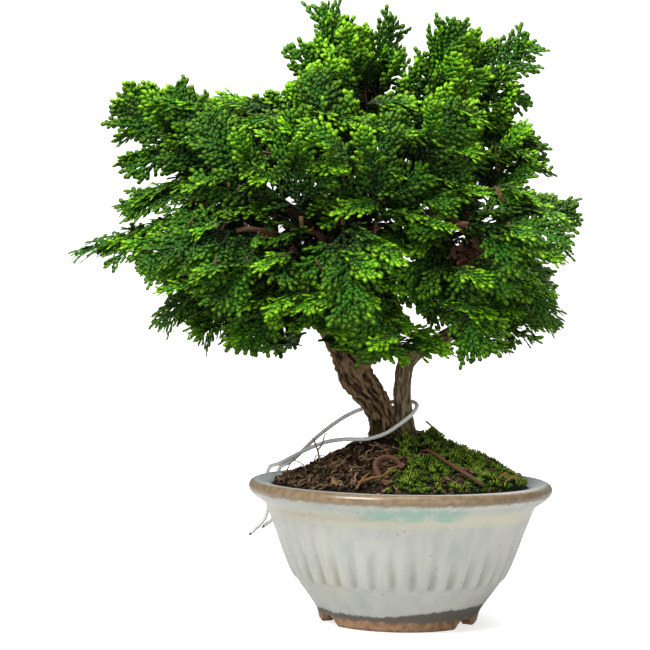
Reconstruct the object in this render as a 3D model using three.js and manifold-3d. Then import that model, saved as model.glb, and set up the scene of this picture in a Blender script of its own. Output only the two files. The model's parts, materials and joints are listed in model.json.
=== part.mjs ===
// Hinoki cypress bonsai with two trunks, in a round fluted stoneware pot on three feet.
// Millimetres, +Z up. The front is -Y. Shapes are laid out round the pot's own axis, with the
// ground at Z = 0, and the finished group is moved so that its origin is at the bottom centre
// of the whole object's box.
import * as THREE from "three";
import { mergeVertices } from "three/addons/utils/BufferGeometryUtils.js";
import Module from "manifold-3d";

const wasm = await Module();
wasm.setup();

// ---------------------------------------------------------------- driving dimensions

const GAP = 0.3; // clearance between pieces that touch
const PAST = 1; // how far a cutting shape reaches past the face that it opens
const SEED = 1847; // every random draw comes from this

const POT_SIDES = 72; // two facets for each flute
const FLUTES = 36;
const FLUTE_DEPTH = 1.5;
// The outside of the pot, from the foot up: radius, height and share of the flute's depth.
const POT_OUTSIDE = [
  [29.6, 0, 0],
  [30.6, 4.8, 0],
  [38.4, 15.2, 0],
  [40.2, 16.5, 1],
  [43.4, 23.6, 0.9],
  [47.6, 34.5, 0],
  [50.2, 42.2, 0],
  [52.6, 44.9, 0],
  [56.3, 47.7, 0],
  [57.5, 50.4, 0],
  [54.6, 53.1, 0],
];
// The inside, from the floor up to the lip.
const POT_INSIDE = [
  [26, 9],
  [35.6, 15],
  [46.2, 43],
  [48.8, 51.3],
  [53.0, 53.1],
];
const INNER_SIDES = 24;
const FOOT_RECESS = { radius: 24.8, height: 3.4, draft: 0.4 };
// The notches between the feet, the first of them some degrees from the front.
const FOOT_NOTCH = { radius: 8, drop: 4.8, count: 3, first: -64, through: 14, sides: 18 };
const DRAIN_HOLE = { radius: 6, sides: 12 };

const SCREEN = { side: 19, thick: 1.1, bars: 3, width: 2.4 };

const SOIL_R = 48.2; // where the soil meets the lip
const SOIL_EDGE_Z = 51.4;
const SOIL_TOP_Z = 70.2;
const SOIL_RISE = 22.5; // height of the mound's cone above its edge
const SOIL_LEAN = 0.1; // the cone is steeper by this much for each mm to the right
const SOIL_RINGS = [40, 30, 20, 11];
const SOIL_INSET = 0.4; // from the pot's sloping wall
// Lumps that spiral round the mound, and how far from its middle and edge they fade.
const SOIL_LUMPS = [
  { height: 0.5, waves: 3, twist: 5 },
  { height: 0.4, waves: 5, twist: -3 },
];
const LUMPS_FADE = { middle: 8, edge: 12 };

const MOSS = { from: -84, to: 128, inner: 13.5, outer: 46.4, thick: 2.4, across: 13, along: 3 };
// The moss's uneven top: its thickness as shares of the above, and how ragged its outer edge is.
const MOSS_TOP = { edge: 0.4, least: 0.75, spread: 0.45, ragged: 2.5, jitter: 0.5 };

// The tie wire, from one cut end to the other: over the lip at the back left, across the front
// of the trunks, round behind them and back over the lip.
const WIRE = { radius: 0.75, sides: 5, steps: 40 };
const WIRE_ROUTE = [
  [-57.4, 16, 29.2],
  [-51.6, 24, 35.0],
  [-50.6, 30.0, 42.0],
  [-51.6, 31.0, 49.0],
  [-50.4, 29.4, 54.2],
  [-46.6, 25.2, 56.2],
  [-34.4, 9, 63.8],
  [-26.8, -2, 67.4],
  [-20.4, -7, 68.6],
  [-13.2, -9.3, 69.0],
  [-6.5, -9.2, 71.0],
  [-0.9, -7.4, 74.6],
  [4.2, -3.8, 78.6],
  [5.9, 1.6, 81.6],
  [2.8, 6.4, 82.6],
  [-4.6, 7.7, 81.8],
  [-13.4, 8.6, 79.6],
  [-21.1, 13.5, 75.8],
  [-31.5, 22, 67.4],
  [-40.2, 30.2, 58.2],
  [-43.6, 34.2, 55.4],
  [-46.6, 37.8, 53.2],
  [-47.0, 38.4, 47.6],
  [-45.8, 36.0, 41.8],
  [-47.4, 28.6, 35.6],
  [-52.6, 22, 31.4],
];

// The two trunks: points of the centreline, each with its radius.
const LEADER = [
  [-3.0, 0.6, 44, 3.2],
  [-3.6, 0.4, 56, 5.6],
  [-4.6, 0.2, 64.5, 8.2],
  [-6.3, 0, 71, 5.6],
  [-7.4, 0, 77, 4.7],
  [-11.2, -0.4, 84, 5.3],
  [-17.6, -0.8, 92.2, 5.9],
  [-22.2, 0, 102, 4.9],
  [-27.4, 0.6, 110.6, 4.3],
  [-32.6, 0.6, 121, 3.8],
  [-31.0, 0, 137.6, 3.3],
  [-24.4, 0, 151, 2.9],
  [-22.8, 0, 164, 2.4],
  [-26.4, 0, 181, 1.9],
  [-29.2, 0, 195, 1.4],
];
const SECOND = [
  [-1.0, 0.2, 50, 2.4],
  [1.6, -0.6, 62, 5.4],
  [1.4, -0.8, 70, 4.3],
  [0.6, -1.0, 79, 3.7],
  [0.2, -1.0, 89, 3.35],
  [1.6, -0.6, 97.4, 3.3],
  [6.6, 0, 102.6, 3.2],
  [14.6, 0.6, 106.4, 2.9],
  [23.6, 0.4, 113.6, 2.5],
  [29.0, 0, 126, 2.1],
  [30.6, 0, 141, 1.6],
];
const TRUNK = { sides: 8, steps: 15, relief: 0.06, ridges: 3, twist: 6 }; // relief: share of the radius
// A limb ends in a straight stretch that is aimed as its sprays are.
const LIMB = { sides: 4, steps: 3, root: 1.7, tip: 0.9, straight: 4 };
const TWIG = { sides: 4, length: 6, radius: 0.85, sunk: 0.6 };

// A limb leaves its trunk at a height, passes a point and ends where its outermost spray
// begins. Its sprays aim one way in a plane that faces another, and each turns off by an
// angle: the first at the limb's end, and the others further and further back.
const LIMBS = [
  { name: "crown", stem: "leader", at: 182, via: [-26, -1, 187], end: [-27, -1, 192],
    aim: [0.05, -0.1, 1], face: [0.6, -0.8, 0], turns: [0, -28] },
  { name: "plume_left", stem: "leader", at: 147, via: [-54, 1, 161], end: [-78, 3, 173],
    aim: [-0.8, 0, 0.65], face: [0, -1, 0.2], turns: [0, -14, 32] },
  { name: "plume_right", stem: "leader", at: 160, via: [-2, 3, 177], end: [19, 4, 196],
    aim: [0.8, 0, 0.65], face: [0, -1, 0.2], turns: [0, 42, -34] },
  { name: "high_left", stem: "leader", at: 152, via: [-36, 3, 157], end: [-46, 4, 163],
    aim: [-0.3, 0, 1], face: [0, -1, 0.2], turns: [0] },
  { name: "left", stem: "leader", at: 131, via: [-58, -2, 143], end: [-86, -3, 144],
    aim: [-1, 0, 0], face: [0, -0.3, 1], turns: [0] },
  { name: "left_upper", stem: "leader", at: 139, via: [-50, -6, 153], end: [-66, -8, 160],
    aim: [-1, -0.1, 0.1], face: [0, -0.6, 0.8], turns: [0] },
  { name: "left_lower", stem: "leader", at: 124, via: [-46, -6, 133], end: [-61, -9, 137],
    aim: [-0.8, -0.2, -0.5], face: [0, -0.7, 0.7], turns: [0] },
  { name: "low_left", stem: "leader", at: 129, via: [-44, 6, 134], end: [-54, 11, 132],
    aim: [-0.7, 0.2, -0.5], face: [0, -0.7, 0.7], turns: [0] },
  { name: "right_upper", stem: "second", at: 139, via: [28, -1, 148], end: [21, -2, 158],
    aim: [0.75, 0, 0.65], face: [0, -0.9, 0.4], turns: [0, -38] },
  { name: "right_middle", stem: "second", at: 124, via: [28, 4, 131], end: [25, 9, 138],
    aim: [1, 0.2, -0.15], face: [0, -0.8, 0.6], turns: [0, -36] },
  { name: "right_lower", stem: "second", at: 112, via: [23, 8, 118], end: [27, 11, 124],
    aim: [0.9, 0.1, -0.2], face: [0, -0.7, 0.7], turns: [0] },
  { name: "front_top", stem: "leader", at: 156, via: [-26, -16, 159], end: [-29, -31, 163],
    aim: [0, -0.2, 1], face: [0, -1, 0.2], turns: [0] },
  { name: "front_high_left", stem: "leader", at: 145, via: [-38, -14, 151], end: [-50, -24, 157],
    aim: [-0.6, -0.2, 0.7], face: [0, -1, 0.4], turns: [0] },
  { name: "front_high_right", stem: "leader", at: 150, via: [-12, -14, 157], end: [-4, -27, 161],
    aim: [0.5, -0.2, 0.8], face: [0, -1, 0.4], turns: [0, -52] },
  { name: "front_centre_left", stem: "leader", at: 139, via: [-32, -22, 145], end: [-38, -36, 147],
    aim: [-0.15, -0.25, 1], face: [0, -1, 0.3], turns: [0] },
  { name: "front_centre_right", stem: "leader", at: 147, via: [-18, -19, 148], end: [-12, -35, 146],
    aim: [0.1, -0.25, 1], face: [0, -1, 0.3], turns: [0] },
  { name: "front_left", stem: "leader", at: 134, via: [-44, -22, 143], end: [-58, -38, 146],
    aim: [-0.9, -0.3, -0.2], face: [-0.1, -0.8, 0.6], turns: [0, 46] },
  { name: "front_right", stem: "second", at: 134, via: [24, -19, 144], end: [18, -35, 149],
    aim: [0.9, -0.3, 0], face: [0.1, -0.8, 0.6], turns: [0] },
  { name: "front_middle", stem: "leader", at: 143, via: [-26, -24, 150], end: [-24, -40, 151],
    aim: [0.1, -0.5, -0.7], face: [0, -0.8, 0.6], turns: [0] },
  { name: "front_low_left", stem: "leader", at: 127, via: [-38, -16, 136], end: [-42, -30, 139],
    aim: [-0.4, -0.4, -0.7], face: [0, -0.8, 0.6], turns: [0] },
  { name: "front_low", stem: "leader", at: 133, via: [-20, -12, 139], end: [-11, -21, 140],
    aim: [0, -0.3, -0.9], face: [0, -0.8, 0.5], turns: [0] },
  { name: "front_low_right", stem: "second", at: 126, via: [23, -14, 139], end: [17, -24, 140],
    aim: [0.2, -0.4, -0.8], face: [0, -0.8, 0.6], turns: [0] },
  { name: "front_inner_right", stem: "second", at: 137, via: [22, -12, 148], end: [9, -16, 155],
    aim: [-0.1, -0.4, -0.8], face: [0, -0.8, 0.6], turns: [0] },
  { name: "back_top", stem: "leader", at: 164, via: [-26, 16, 168], end: [-28, 28, 172],
    aim: [0, 0.3, 1], face: [0, 1, 0.3], turns: [0] },
  { name: "back_high_left", stem: "leader", at: 142, via: [-42, 19, 152], end: [-54, 30, 158],
    aim: [-0.7, 0.3, 0.5], face: [0, 1, 0.4], turns: [0] },
  { name: "back_high_right", stem: "leader", at: 154, via: [-8, 19, 162], end: [4, 30, 166],
    aim: [0.7, 0.3, 0.5], face: [0, 1, 0.4], turns: [0] },
  { name: "back_left", stem: "leader", at: 128, via: [-46, 24, 140], end: [-56, 40, 142],
    aim: [-0.9, 0.4, -0.2], face: [-0.1, 0.8, 0.6], turns: [0] },
  { name: "back_right", stem: "second", at: 125, via: [24, 19, 138], end: [20, 35, 142],
    aim: [0.9, 0.4, -0.1], face: [0.1, 0.8, 0.6], turns: [0] },
  { name: "back_middle", stem: "leader", at: 136, via: [-26, 24, 146], end: [-24, 40, 148],
    aim: [0.2, 0.5, -0.6], face: [0, 0.8, 0.6], turns: [0] },
  { name: "back_low", stem: "leader", at: 122, via: [-34, 19, 134], end: [-34, 32, 137],
    aim: [-0.4, 0.5, -0.7], face: [0, 0.8, 0.6], turns: [0] },
];
const TURN_OFF_AT = [1, 0.66, 0.4]; // share of a limb where each of its sprays leaves
const LIFTS = [0, 22, -22]; // how far each spray's twig leans out of the limb's plane, in degrees

const SPRAY = { length: 35, thick: 0.8, seat: 0.35, droop: 0.3, cup: 0.16 };
const SWAY = { turn: 9, roll: 16 }; // how far sprays differ from each other, in degrees
// The three fans of a spray: where the fan leaves the stalk, its turn and lift in degrees, its
// share of the spray's length, its bare stalk and the fingers on each side of its rib.
const FANS = [
  { start: 0, turn: 0, lift: 0, share: 1, stalk: 8, fingers: 4 },
  { start: 2, turn: 52, lift: 10, share: 0.7, stalk: 4, fingers: 2 },
  { start: 3.5, turn: -49, lift: -8, share: 0.66, stalk: 4, fingers: 2 },
];
// The fingers: their angle, width, reach and the rib's half width; the tip that is left bare and
// the lag of one side's fingers, in steps; and where on a sine their reach starts and how far it runs.
const FINGER = {
  angle: 46,
  width: 2.3,
  reach: 0.36,
  rib: 0.9,
  bare: 0.6,
  lag: 0.45,
  rise: 0.36,
  run: 0.52,
};
// A spray bends clear of what is already there: it takes the first of these sizes, pitches,
// turns and rolls, mildest first, that leaves it enough room.
const SIZES = [1, 0.88, 0.76, 0.66];
const PITCHES = [0, 9, -9, 18, -18, 28, -28, 40, -40];
const TURNS = [0, 13, -13, 26, -26];
const ROLLS = [0, 18, -18, 38, -38];
const STRAIN = { size: 14, pitch: 0.1, turn: 0.08, roll: 0.07 }; // how much each change counts
const CLEAR = 0.25;

const ROOT = { sides: 5, steps: 9 };
const SURFACE_ROOTS = [
  {
    name: "surface_root_hoop",
    radius: 0.95,
    points: [
      [-6.0, -40.5, 54.6],
      [-9.4, -37.6, 58.6],
      [-10.4, -34.5, 62.2],
      [-7.4, -32.5, 64.4],
      [-3.0, -32, 63.4],
      [-0.6, -33, 60.4],
    ],
  },
  {
    name: "surface_root_long",
    radius: 0.7,
    points: [
      [6.4, -17, 65.0],
      [9.5, -22.4, 66.0],
      [15.6, -29, 62.6],
      [22.5, -35, 58.8],
      [28, -37.5, 55.4],
    ],
  },
];

const COLOURS = {
  glaze: { color: 0xc9cbc0, roughness: 0.3 },
  soil: { color: 0x2b2118, roughness: 1 },
  bark: { color: 0x5b4534, roughness: 0.9 },
  foliage: { color: 0x2f7a1e, roughness: 0.55 },
  moss: { color: 0x4d7f1c, roughness: 1 },
  root: { color: 0x5a3a30, roughness: 0.8 },
  wire: { color: 0xd9d9d2, roughness: 0.4 },
  screen: { color: 0x23282a, roughness: 0.6 },
};

// ---------------------------------------------------------------- helpers

const radians = THREE.MathUtils.degToRad;
const vector = (p) => new THREE.Vector3(p[0], p[1], p[2]);

/** A function that gives repeatable random numbers from 0 to 1. */
function randomFrom(seed) {
  let state = seed >>> 0;
  return () => {
    state = (state + 0x6d2b79f5) >>> 0;
    let t = Math.imul(state ^ (state >>> 15), 1 | state);
    t = (t + Math.imul(t ^ (t >>> 7), 61 | t)) ^ t;
    return ((t ^ (t >>> 14)) >>> 0) / 2 ** 32;
  };
}

/** A closed geometry as a solid that can be joined and cut. */
function solidOf(geometry) {
  const bare = geometry.clone();
  bare.deleteAttribute("normal");
  bare.deleteAttribute("uv");
  const merged = mergeVertices(bare, 1e-4);
  const corners = merged.index.array;
  const triVerts = [];
  for (let i = 0; i < corners.length; i += 3) {
    const [a, b, c] = corners.slice(i, i + 3);
    if (a !== b && b !== c && c !== a) triVerts.push(a, b, c);
  }
  const vertProperties = merged.attributes.position.array;
  return new wasm.Manifold(
    new wasm.Mesh({ numProp: 3, vertProperties, triVerts: new Uint32Array(triVerts) }),
  );
}

/** A named mesh of a solid, in one of the colours. */
function meshOf(name, solid, colour) {
  const { vertProperties, triVerts } = solid.getMesh();
  const geometry = new THREE.BufferGeometry()
    .setAttribute("position", new THREE.BufferAttribute(vertProperties, 3))
    .setIndex(new THREE.BufferAttribute(triVerts, 1));
  geometry.computeVertexNormals();
  const mesh = new THREE.Mesh(geometry, new THREE.MeshStandardMaterial(COLOURS[colour]));
  mesh.name = name;
  return mesh;
}

/** A closed geometry turned about the Z axis, from points of radius and height, bottom to top. */
function turned(points, sides) {
  const outline = points.map(([r, z]) => new THREE.Vector2(r, z));
  const low = new THREE.Vector2(0, points[0][1]);
  const high = new THREE.Vector2(0, points.at(-1)[1]);
  return new THREE.LatheGeometry([low, ...outline, high], sides).rotateX(Math.PI / 2);
}

/** Moves each vertex of a geometry to where a function of the vertex puts it. */
function reshape(geometry, move) {
  const position = geometry.attributes.position;
  const point = new THREE.Vector3();
  for (let i = 0; i < position.count; i++) {
    move(point.fromBufferAttribute(position, i), i);
    position.setXYZ(i, point.x, point.y, point.z);
  }
  return geometry;
}

/** A closed tube along a curve, with its radius as a function of the share along and the angle. */
function tube(curve, radiusAt, sides, steps) {
  const frames = curve.computeFrenetFrames(steps, false);
  const positions = [];
  const index = [];
  for (let i = 0; i <= steps; i++) {
    const centre = curve.getPointAt(i / steps);
    for (let k = 0; k < sides; k++) {
      const angle = (k / sides) * 2 * Math.PI;
      const r = radiusAt(i / steps, angle);
      const point = centre
        .clone()
        .addScaledVector(frames.normals[i], r * Math.cos(angle))
        .addScaledVector(frames.binormals[i], r * Math.sin(angle));
      positions.push(point.x, point.y, point.z);
    }
  }
  for (let i = 0; i < steps; i++) {
    for (let k = 0; k < sides; k++) {
      const a = i * sides + k;
      const b = i * sides + ((k + 1) % sides);
      index.push(a, b, a + sides, b, b + sides, a + sides);
    }
  }
  const last = steps * sides;
  for (let k = 1; k < sides - 1; k++) index.push(0, k + 1, k, last, last + k, last + k + 1);
  return new THREE.BufferGeometry()
    .setAttribute("position", new THREE.Float32BufferAttribute(positions, 3))
    .setIndex(index);
}

const curveOf = (points) => new THREE.CatmullRomCurve3(points.map(vector), false, "centripetal");

/** The point where a curve that only climbs reaches a height. */
function pointAtHeight(curve, z) {
  let [low, high] = [0, 1];
  for (let i = 0; i < 30; i++) {
    const middle = (low + high) / 2;
    if (curve.getPoint(middle).z < z) low = middle;
    else high = middle;
  }
  return curve.getPoint((low + high) / 2);
}

// ---------------------------------------------------------------- pot

function buildPot() {
  const rows = POT_OUTSIDE.length + 2; // with the two points on the axis
  const outside = reshape(turned(POT_OUTSIDE, POT_SIDES), (point, i) => {
    const row = POT_OUTSIDE[(i % rows) - 1];
    if (!row) return;
    const [r, , share] = row;
    const valley = (1 - Math.cos(FLUTES * Math.atan2(point.y, point.x))) / 2;
    const scale = 1 - (FLUTE_DEPTH * share * valley) / r;
    point.set(point.x * scale, point.y * scale, point.z);
  });
  const [lipR, lipZ] = POT_INSIDE.at(-1);
  const inside = turned([...POT_INSIDE, [lipR + 3 * PAST, lipZ + 3 * PAST]], INNER_SIDES);
  const { radius, height, draft } = FOOT_RECESS;
  const recess = turned([[radius + draft, -PAST], [radius, height]], INNER_SIDES);
  const floor = POT_INSIDE[0][1];
  const holeEnds = [-PAST, floor + PAST].map((z) => [DRAIN_HOLE.radius, z]);
  const cuts = [inside, recess, turned(holeEnds, DRAIN_HOLE.sides)];
  for (let k = 0; k < FOOT_NOTCH.count; k++) {
    const { radius: r, through, sides } = FOOT_NOTCH;
    const notch = new THREE.CylinderGeometry(r, r, through, sides);
    notch.translate(0, -POT_OUTSIDE[0][0], -FOOT_NOTCH.drop);
    cuts.push(notch.rotateZ(radians(FOOT_NOTCH.first + (k * 360) / FOOT_NOTCH.count)));
  }
  return cuts.reduce((pot, cut) => pot.subtract(solidOf(cut)), solidOf(outside));
}

/** The plastic mesh over the drainage hole: crossed bars. */
function buildScreen() {
  const { side, thick, bars, width } = SCREEN;
  const pieces = [];
  for (let k = 0; k < bars; k++) {
    const offset = (k / (bars - 1) - 0.5) * (side - width);
    pieces.push(new THREE.BoxGeometry(side, width, thick).translate(0, offset, 0));
    pieces.push(new THREE.BoxGeometry(width, side, thick).translate(offset, 0, 0));
  }
  const screen = wasm.Manifold.union(pieces.map(solidOf));
  return screen.translate(0, 0, POT_INSIDE[0][1] + GAP + thick / 2);
}

// ---------------------------------------------------------------- soil and moss

/** Height of the mound above a point of the pot's plan. */
function soilHeight(x, y) {
  const r = Math.hypot(x, y);
  const angle = Math.atan2(y, x);
  const inward = Math.max(0, 1 - r / SOIL_R);
  const cone = SOIL_EDGE_Z + inward * (SOIL_RISE + SOIL_LEAN * x);
  const lump = ({ height, waves, twist }) => height * Math.sin(waves * angle + r / twist);
  const lumps = SOIL_LUMPS.reduce((sum, wave) => sum + lump(wave), 0);
  const fade = Math.min(1, r / LUMPS_FADE.middle, (SOIL_R - r) / LUMPS_FADE.edge);
  return Math.min(SOIL_TOP_Z, cone + lumps * fade);
}

/** The soil that fills the pot, with plain holes for the trunks and the surface roots. */
function buildSoil(buried) {
  const wall = POT_INSIDE.slice(0, -2).map(([r, z], i) => [r - SOIL_INSET, i ? z : z + GAP]);
  const rings = SOIL_RINGS.map((r) => [r, SOIL_EDGE_Z]);
  const soil = turned([...wall, [SOIL_R, SOIL_EDGE_Z], ...rings], INNER_SIDES);
  const [widest] = SOIL_RINGS;
  reshape(soil, (point) => {
    const atEdgeHeight = Math.abs(point.z - SOIL_EDGE_Z) < 1e-3;
    const inRings = Math.hypot(point.x, point.y) < widest + 1e-3;
    if (atEdgeHeight && inRings) point.z = soilHeight(point.x, point.y);
  });
  const bed = SCREEN.side + 2 * GAP;
  const deep = 2 * (SCREEN.thick + 2 * GAP);
  const room = new THREE.BoxGeometry(bed, bed, deep).translate(0, 0, POT_INSIDE[0][1]);
  const filled = solidOf(soil).subtract(solidOf(room));
  return buried.reduce((solid, cut) => solid.subtract(cut), filled);
}

/** The cushion moss: a mat from the front round the right side of the mound to its back. */
function buildMoss(soil) {
  const { from, to, inner, outer, thick, across, along } = MOSS;
  const random = randomFrom(SEED + 3);
  const top = [];
  const base = [];
  for (let i = 0; i <= across; i++) {
    for (let k = 0; k <= along; k++) {
      const edge = i === 0 || i === across || k === 0 || k === along;
      const angle = radians(from + ((to - from) * (i + MOSS_TOP.jitter * random())) / across);
      const r = inner + ((outer - inner) * k) / along - (k === along ? MOSS_TOP.ragged * random() : 0);
      const [x, y] = [r * Math.cos(angle), r * Math.sin(angle)];
      const ground = soilHeight(x, y);
      const share = edge ? MOSS_TOP.edge : MOSS_TOP.least + MOSS_TOP.spread * random();
      top.push(x, y, ground + thick * share);
      base.push(x, y, ground - thick);
    }
  }
  const row = along + 1;
  const layer = top.length / 3;
  const index = [];
  const quad = (a, b, c, d) => index.push(a, b, c, a, c, d);
  for (let i = 0; i < across; i++) {
    for (let k = 0; k < along; k++) {
      const a = i * row + k;
      quad(a, a + 1, a + row + 1, a + row);
      quad(layer + a, layer + a + row, layer + a + row + 1, layer + a + 1);
    }
    const [a, b] = [i * row, i * row + along];
    quad(a + row, layer + a + row, layer + a, a);
    quad(b, layer + b, layer + b + row, b + row);
  }
  for (let k = 0; k < along; k++) {
    const b = across * row + k;
    quad(k, layer + k, layer + k + 1, k + 1);
    quad(b + 1, layer + b + 1, layer + b, b);
  }
  const mat = new THREE.BufferGeometry()
    .setAttribute("position", new THREE.Float32BufferAttribute([...top, ...base], 3))
    .setIndex(index);
  const grooves = SURFACE_ROOTS.map((root) => buildRoot(root, 2 * GAP));
  const onSoil = solidOf(mat).subtract(soil.translate(0, 0, GAP));
  return grooves.reduce((moss, cut) => moss.subtract(cut), onSoil);
}

// ---------------------------------------------------------------- trunks, limbs, roots and wire

/** A trunk's tube, with the bark's long ridges, or smooth and larger by some clearance. */
function buildTrunk(points, clearance = 0) {
  const curve = curveOf(points);
  const radii = curveOf(points.map(([, , z, r]) => [r, 0, z]));
  const bottom = points[0][2];
  const height = points.at(-1)[2] - bottom;
  const radiusAt = (share, angle) => {
    const z = curve.getPointAt(share).z;
    const r = pointAtHeight(radii, z).x;
    if (clearance) return r * (1 + TRUNK.relief) + clearance;
    const ridge = Math.sin(TRUNK.ridges * angle + (TRUNK.twist * (z - bottom)) / height);
    return r * (1 + TRUNK.relief * ridge);
  };
  return solidOf(tube(curve, radiusAt, TRUNK.sides, TRUNK.steps));
}

const STEMS = { leader: curveOf(LEADER), second: curveOf(SECOND) };

/** A limb's centreline, from inside its trunk to its end. */
function limbCurve(limb) {
  const start = pointAtHeight(STEMS[limb.stem], limb.at);
  const end = vector(limb.end);
  const tip = vector(limb.aim).setLength(LIMB.straight).add(end);
  return new THREE.CatmullRomCurve3([start, vector(limb.via), end, tip], false, "centripetal");
}

/** The axes of a spray's root: X along the spray, Y to its side and Z the way that it faces. */
function axes(origin, along, face) {
  const x = along.clone().normalize();
  const y = new THREE.Vector3().crossVectors(face, x).normalize();
  const z = new THREE.Vector3().crossVectors(x, y);
  return new THREE.Matrix4().makeBasis(x, y, z).setPosition(origin);
}

/** Each spray of each limb: its name, the axes where it leaves the limb and its twig's length. */
function sprayPlaces() {
  const places = [];
  for (const limb of LIMBS) {
    const curve = limbCurve(limb);
    limb.turns.forEach((turn, k) => {
      const share = TURN_OFF_AT[k];
      const order = places.length + 1;
      const sway = (step) => 2 * ((order * step) % 1) - 1;
      const origin = curve.getPointAt(share);
      const place = axes(origin, vector(limb.aim), vector(limb.face))
        .multiply(new THREE.Matrix4().makeRotationZ(radians(turn + SWAY.turn * sway(0.618))))
        .multiply(new THREE.Matrix4().makeRotationY(-radians(LIFTS[k])))
        .multiply(new THREE.Matrix4().makeRotationX(radians(SWAY.roll * sway(0.414))));
      places.push({ name: `spray_${limb.name}_${k + 1}`, place, twig: k ? TWIG.length : 0 });
    });
  }
  return places;
}

/** Both trunks with their limbs and twigs, as one solid. */
function buildTree(places) {
  const pieces = [buildTrunk(LEADER), buildTrunk(SECOND)];
  for (const limb of LIMBS) {
    const radiusAt = (share) => LIMB.root + (LIMB.tip - LIMB.root) * share;
    pieces.push(solidOf(tube(limbCurve(limb), radiusAt, LIMB.sides, LIMB.steps)));
  }
  for (const { place, twig } of places.filter((spray) => spray.twig)) {
    const ends = [-TWIG.sunk, twig].map((x) => new THREE.Vector3(x, 0, 0));
    const line = new THREE.LineCurve3(...ends);
    const stick = tube(line, () => TWIG.radius, TWIG.sides, 1).applyMatrix4(place);
    pieces.push(solidOf(stick));
  }
  return wasm.Manifold.union(pieces);
}

const buildRoot = ({ points, radius }, clearance = 0) =>
  solidOf(tube(curveOf(points), () => radius + clearance, ROOT.sides, ROOT.steps));

function buildWire() {
  return solidOf(tube(curveOf(WIRE_ROUTE), () => WIRE.radius, WIRE.sides, WIRE.steps));
}

// ---------------------------------------------------------------- sprays

/** The outline of a fan: a bare stalk, then blunt fingers by turns on both sides of a rib. */
function fanOutline({ share, stalk, fingers }) {
  const length = SPRAY.length * share;
  const along = new THREE.Vector2(Math.cos(radians(FINGER.angle)), Math.sin(radians(FINGER.angle)));
  const step = (length - stalk) / (fingers + FINGER.bare);
  const halves = [-1, 1].map((side) => {
    const points = [new THREE.Vector2(0, side * FINGER.rib)];
    for (let k = 0; k < fingers; k++) {
      const s = stalk + step * (k + (side > 0 ? 0 : FINGER.lag));
      const taper = Math.sin(Math.PI * (FINGER.rise + (FINGER.run * (s - stalk)) / (length - stalk)));
      const reach = length * FINGER.reach * taper;
      const notch = new THREE.Vector2(s, FINGER.rib);
      const heel = notch.clone().addScaledVector(along, reach);
      const toe = heel.clone().add(new THREE.Vector2(along.y, -along.x).multiplyScalar(FINGER.width));
      for (const p of [notch, heel, toe]) points.push(new THREE.Vector2(p.x, side * p.y));
    }
    points.push(new THREE.Vector2(length, side * FINGER.rib));
    return points;
  });
  return [...halves[0], ...halves[1].reverse()];
}

/** A thin arched blade of a fan at a size, from its own axes. */
function buildFan(fan, size, place) {
  const length = SPRAY.length * fan.share * size;
  const shape = new THREE.Shape(fanOutline(fan).map((point) => point.multiplyScalar(size)));
  const blade = new THREE.ExtrudeGeometry(shape, { depth: SPRAY.thick, bevelEnabled: false });
  reshape(blade, (point) => {
    point.z -= SPRAY.thick / 2 + (SPRAY.droop * point.x ** 2 + SPRAY.cup * point.y ** 2) / length;
    point.applyMatrix4(place);
  });
  return solidOf(blade);
}

/** A spray of three fans at a size, from the axes of its stalk. */
function buildSpray(size) {
  const fans = FANS.map((fan) => {
    const place = new THREE.Matrix4()
      .makeTranslation(fan.start * size, 0, 0)
      .multiply(new THREE.Matrix4().makeRotationZ(radians(fan.turn)))
      .multiply(new THREE.Matrix4().makeRotationY(-radians(fan.lift)));
    return buildFan(fan, size, place);
  });
  return wasm.Manifold.union(fans);
}

/** True if two solids' boxes come within the clearance of each other. */
function near(a, b) {
  const [p, q] = [a.boundingBox(), b.boundingBox()];
  return [0, 1, 2].every((i) => p.min[i] - CLEAR < q.max[i] && q.min[i] - CLEAR < p.max[i]);
}

/** Every way to bend a spray, the mildest first: its solid and its place from the twig's end. */
function sprayChoices() {
  const choices = [];
  for (const size of SIZES) {
    const solid = buildSpray(size);
    for (const pitch of PITCHES) {
      for (const turn of TURNS) {
        for (const roll of ROLLS) {
          const bend = new THREE.Matrix4().makeRotationFromEuler(
            new THREE.Euler(radians(roll), -radians(pitch), radians(turn), "ZYX"),
          );
          const strain =
            STRAIN.size * (1 - size) +
            STRAIN.pitch * Math.abs(pitch) +
            STRAIN.turn * Math.abs(turn) +
            STRAIN.roll * Math.abs(roll);
          choices.push({ solid, bend, strain });
        }
      }
    }
  }
  return choices.sort((a, b) => a.strain - b.strain);
}

/** Each spray, bent clear of the wood and of the sprays before it. */
function buildSprays(places, wood) {
  const choices = sprayChoices();
  const placed = [wood];
  return places.map(({ name, place, twig }) => {
    const root = place.clone().multiply(new THREE.Matrix4().makeTranslation(twig + SPRAY.seat, 0, 0));
    for (const choice of choices) {
      const solid = choice.solid.transform(root.clone().multiply(choice.bend).elements);
      if (placed.some((other) => near(solid, other) && solid.minGap(other, CLEAR) < CLEAR)) continue;
      placed.push(solid);
      return [name, solid];
    }
    throw new Error(`${name} has no clear place`);
  });
}

// ---------------------------------------------------------------- the whole plant

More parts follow.
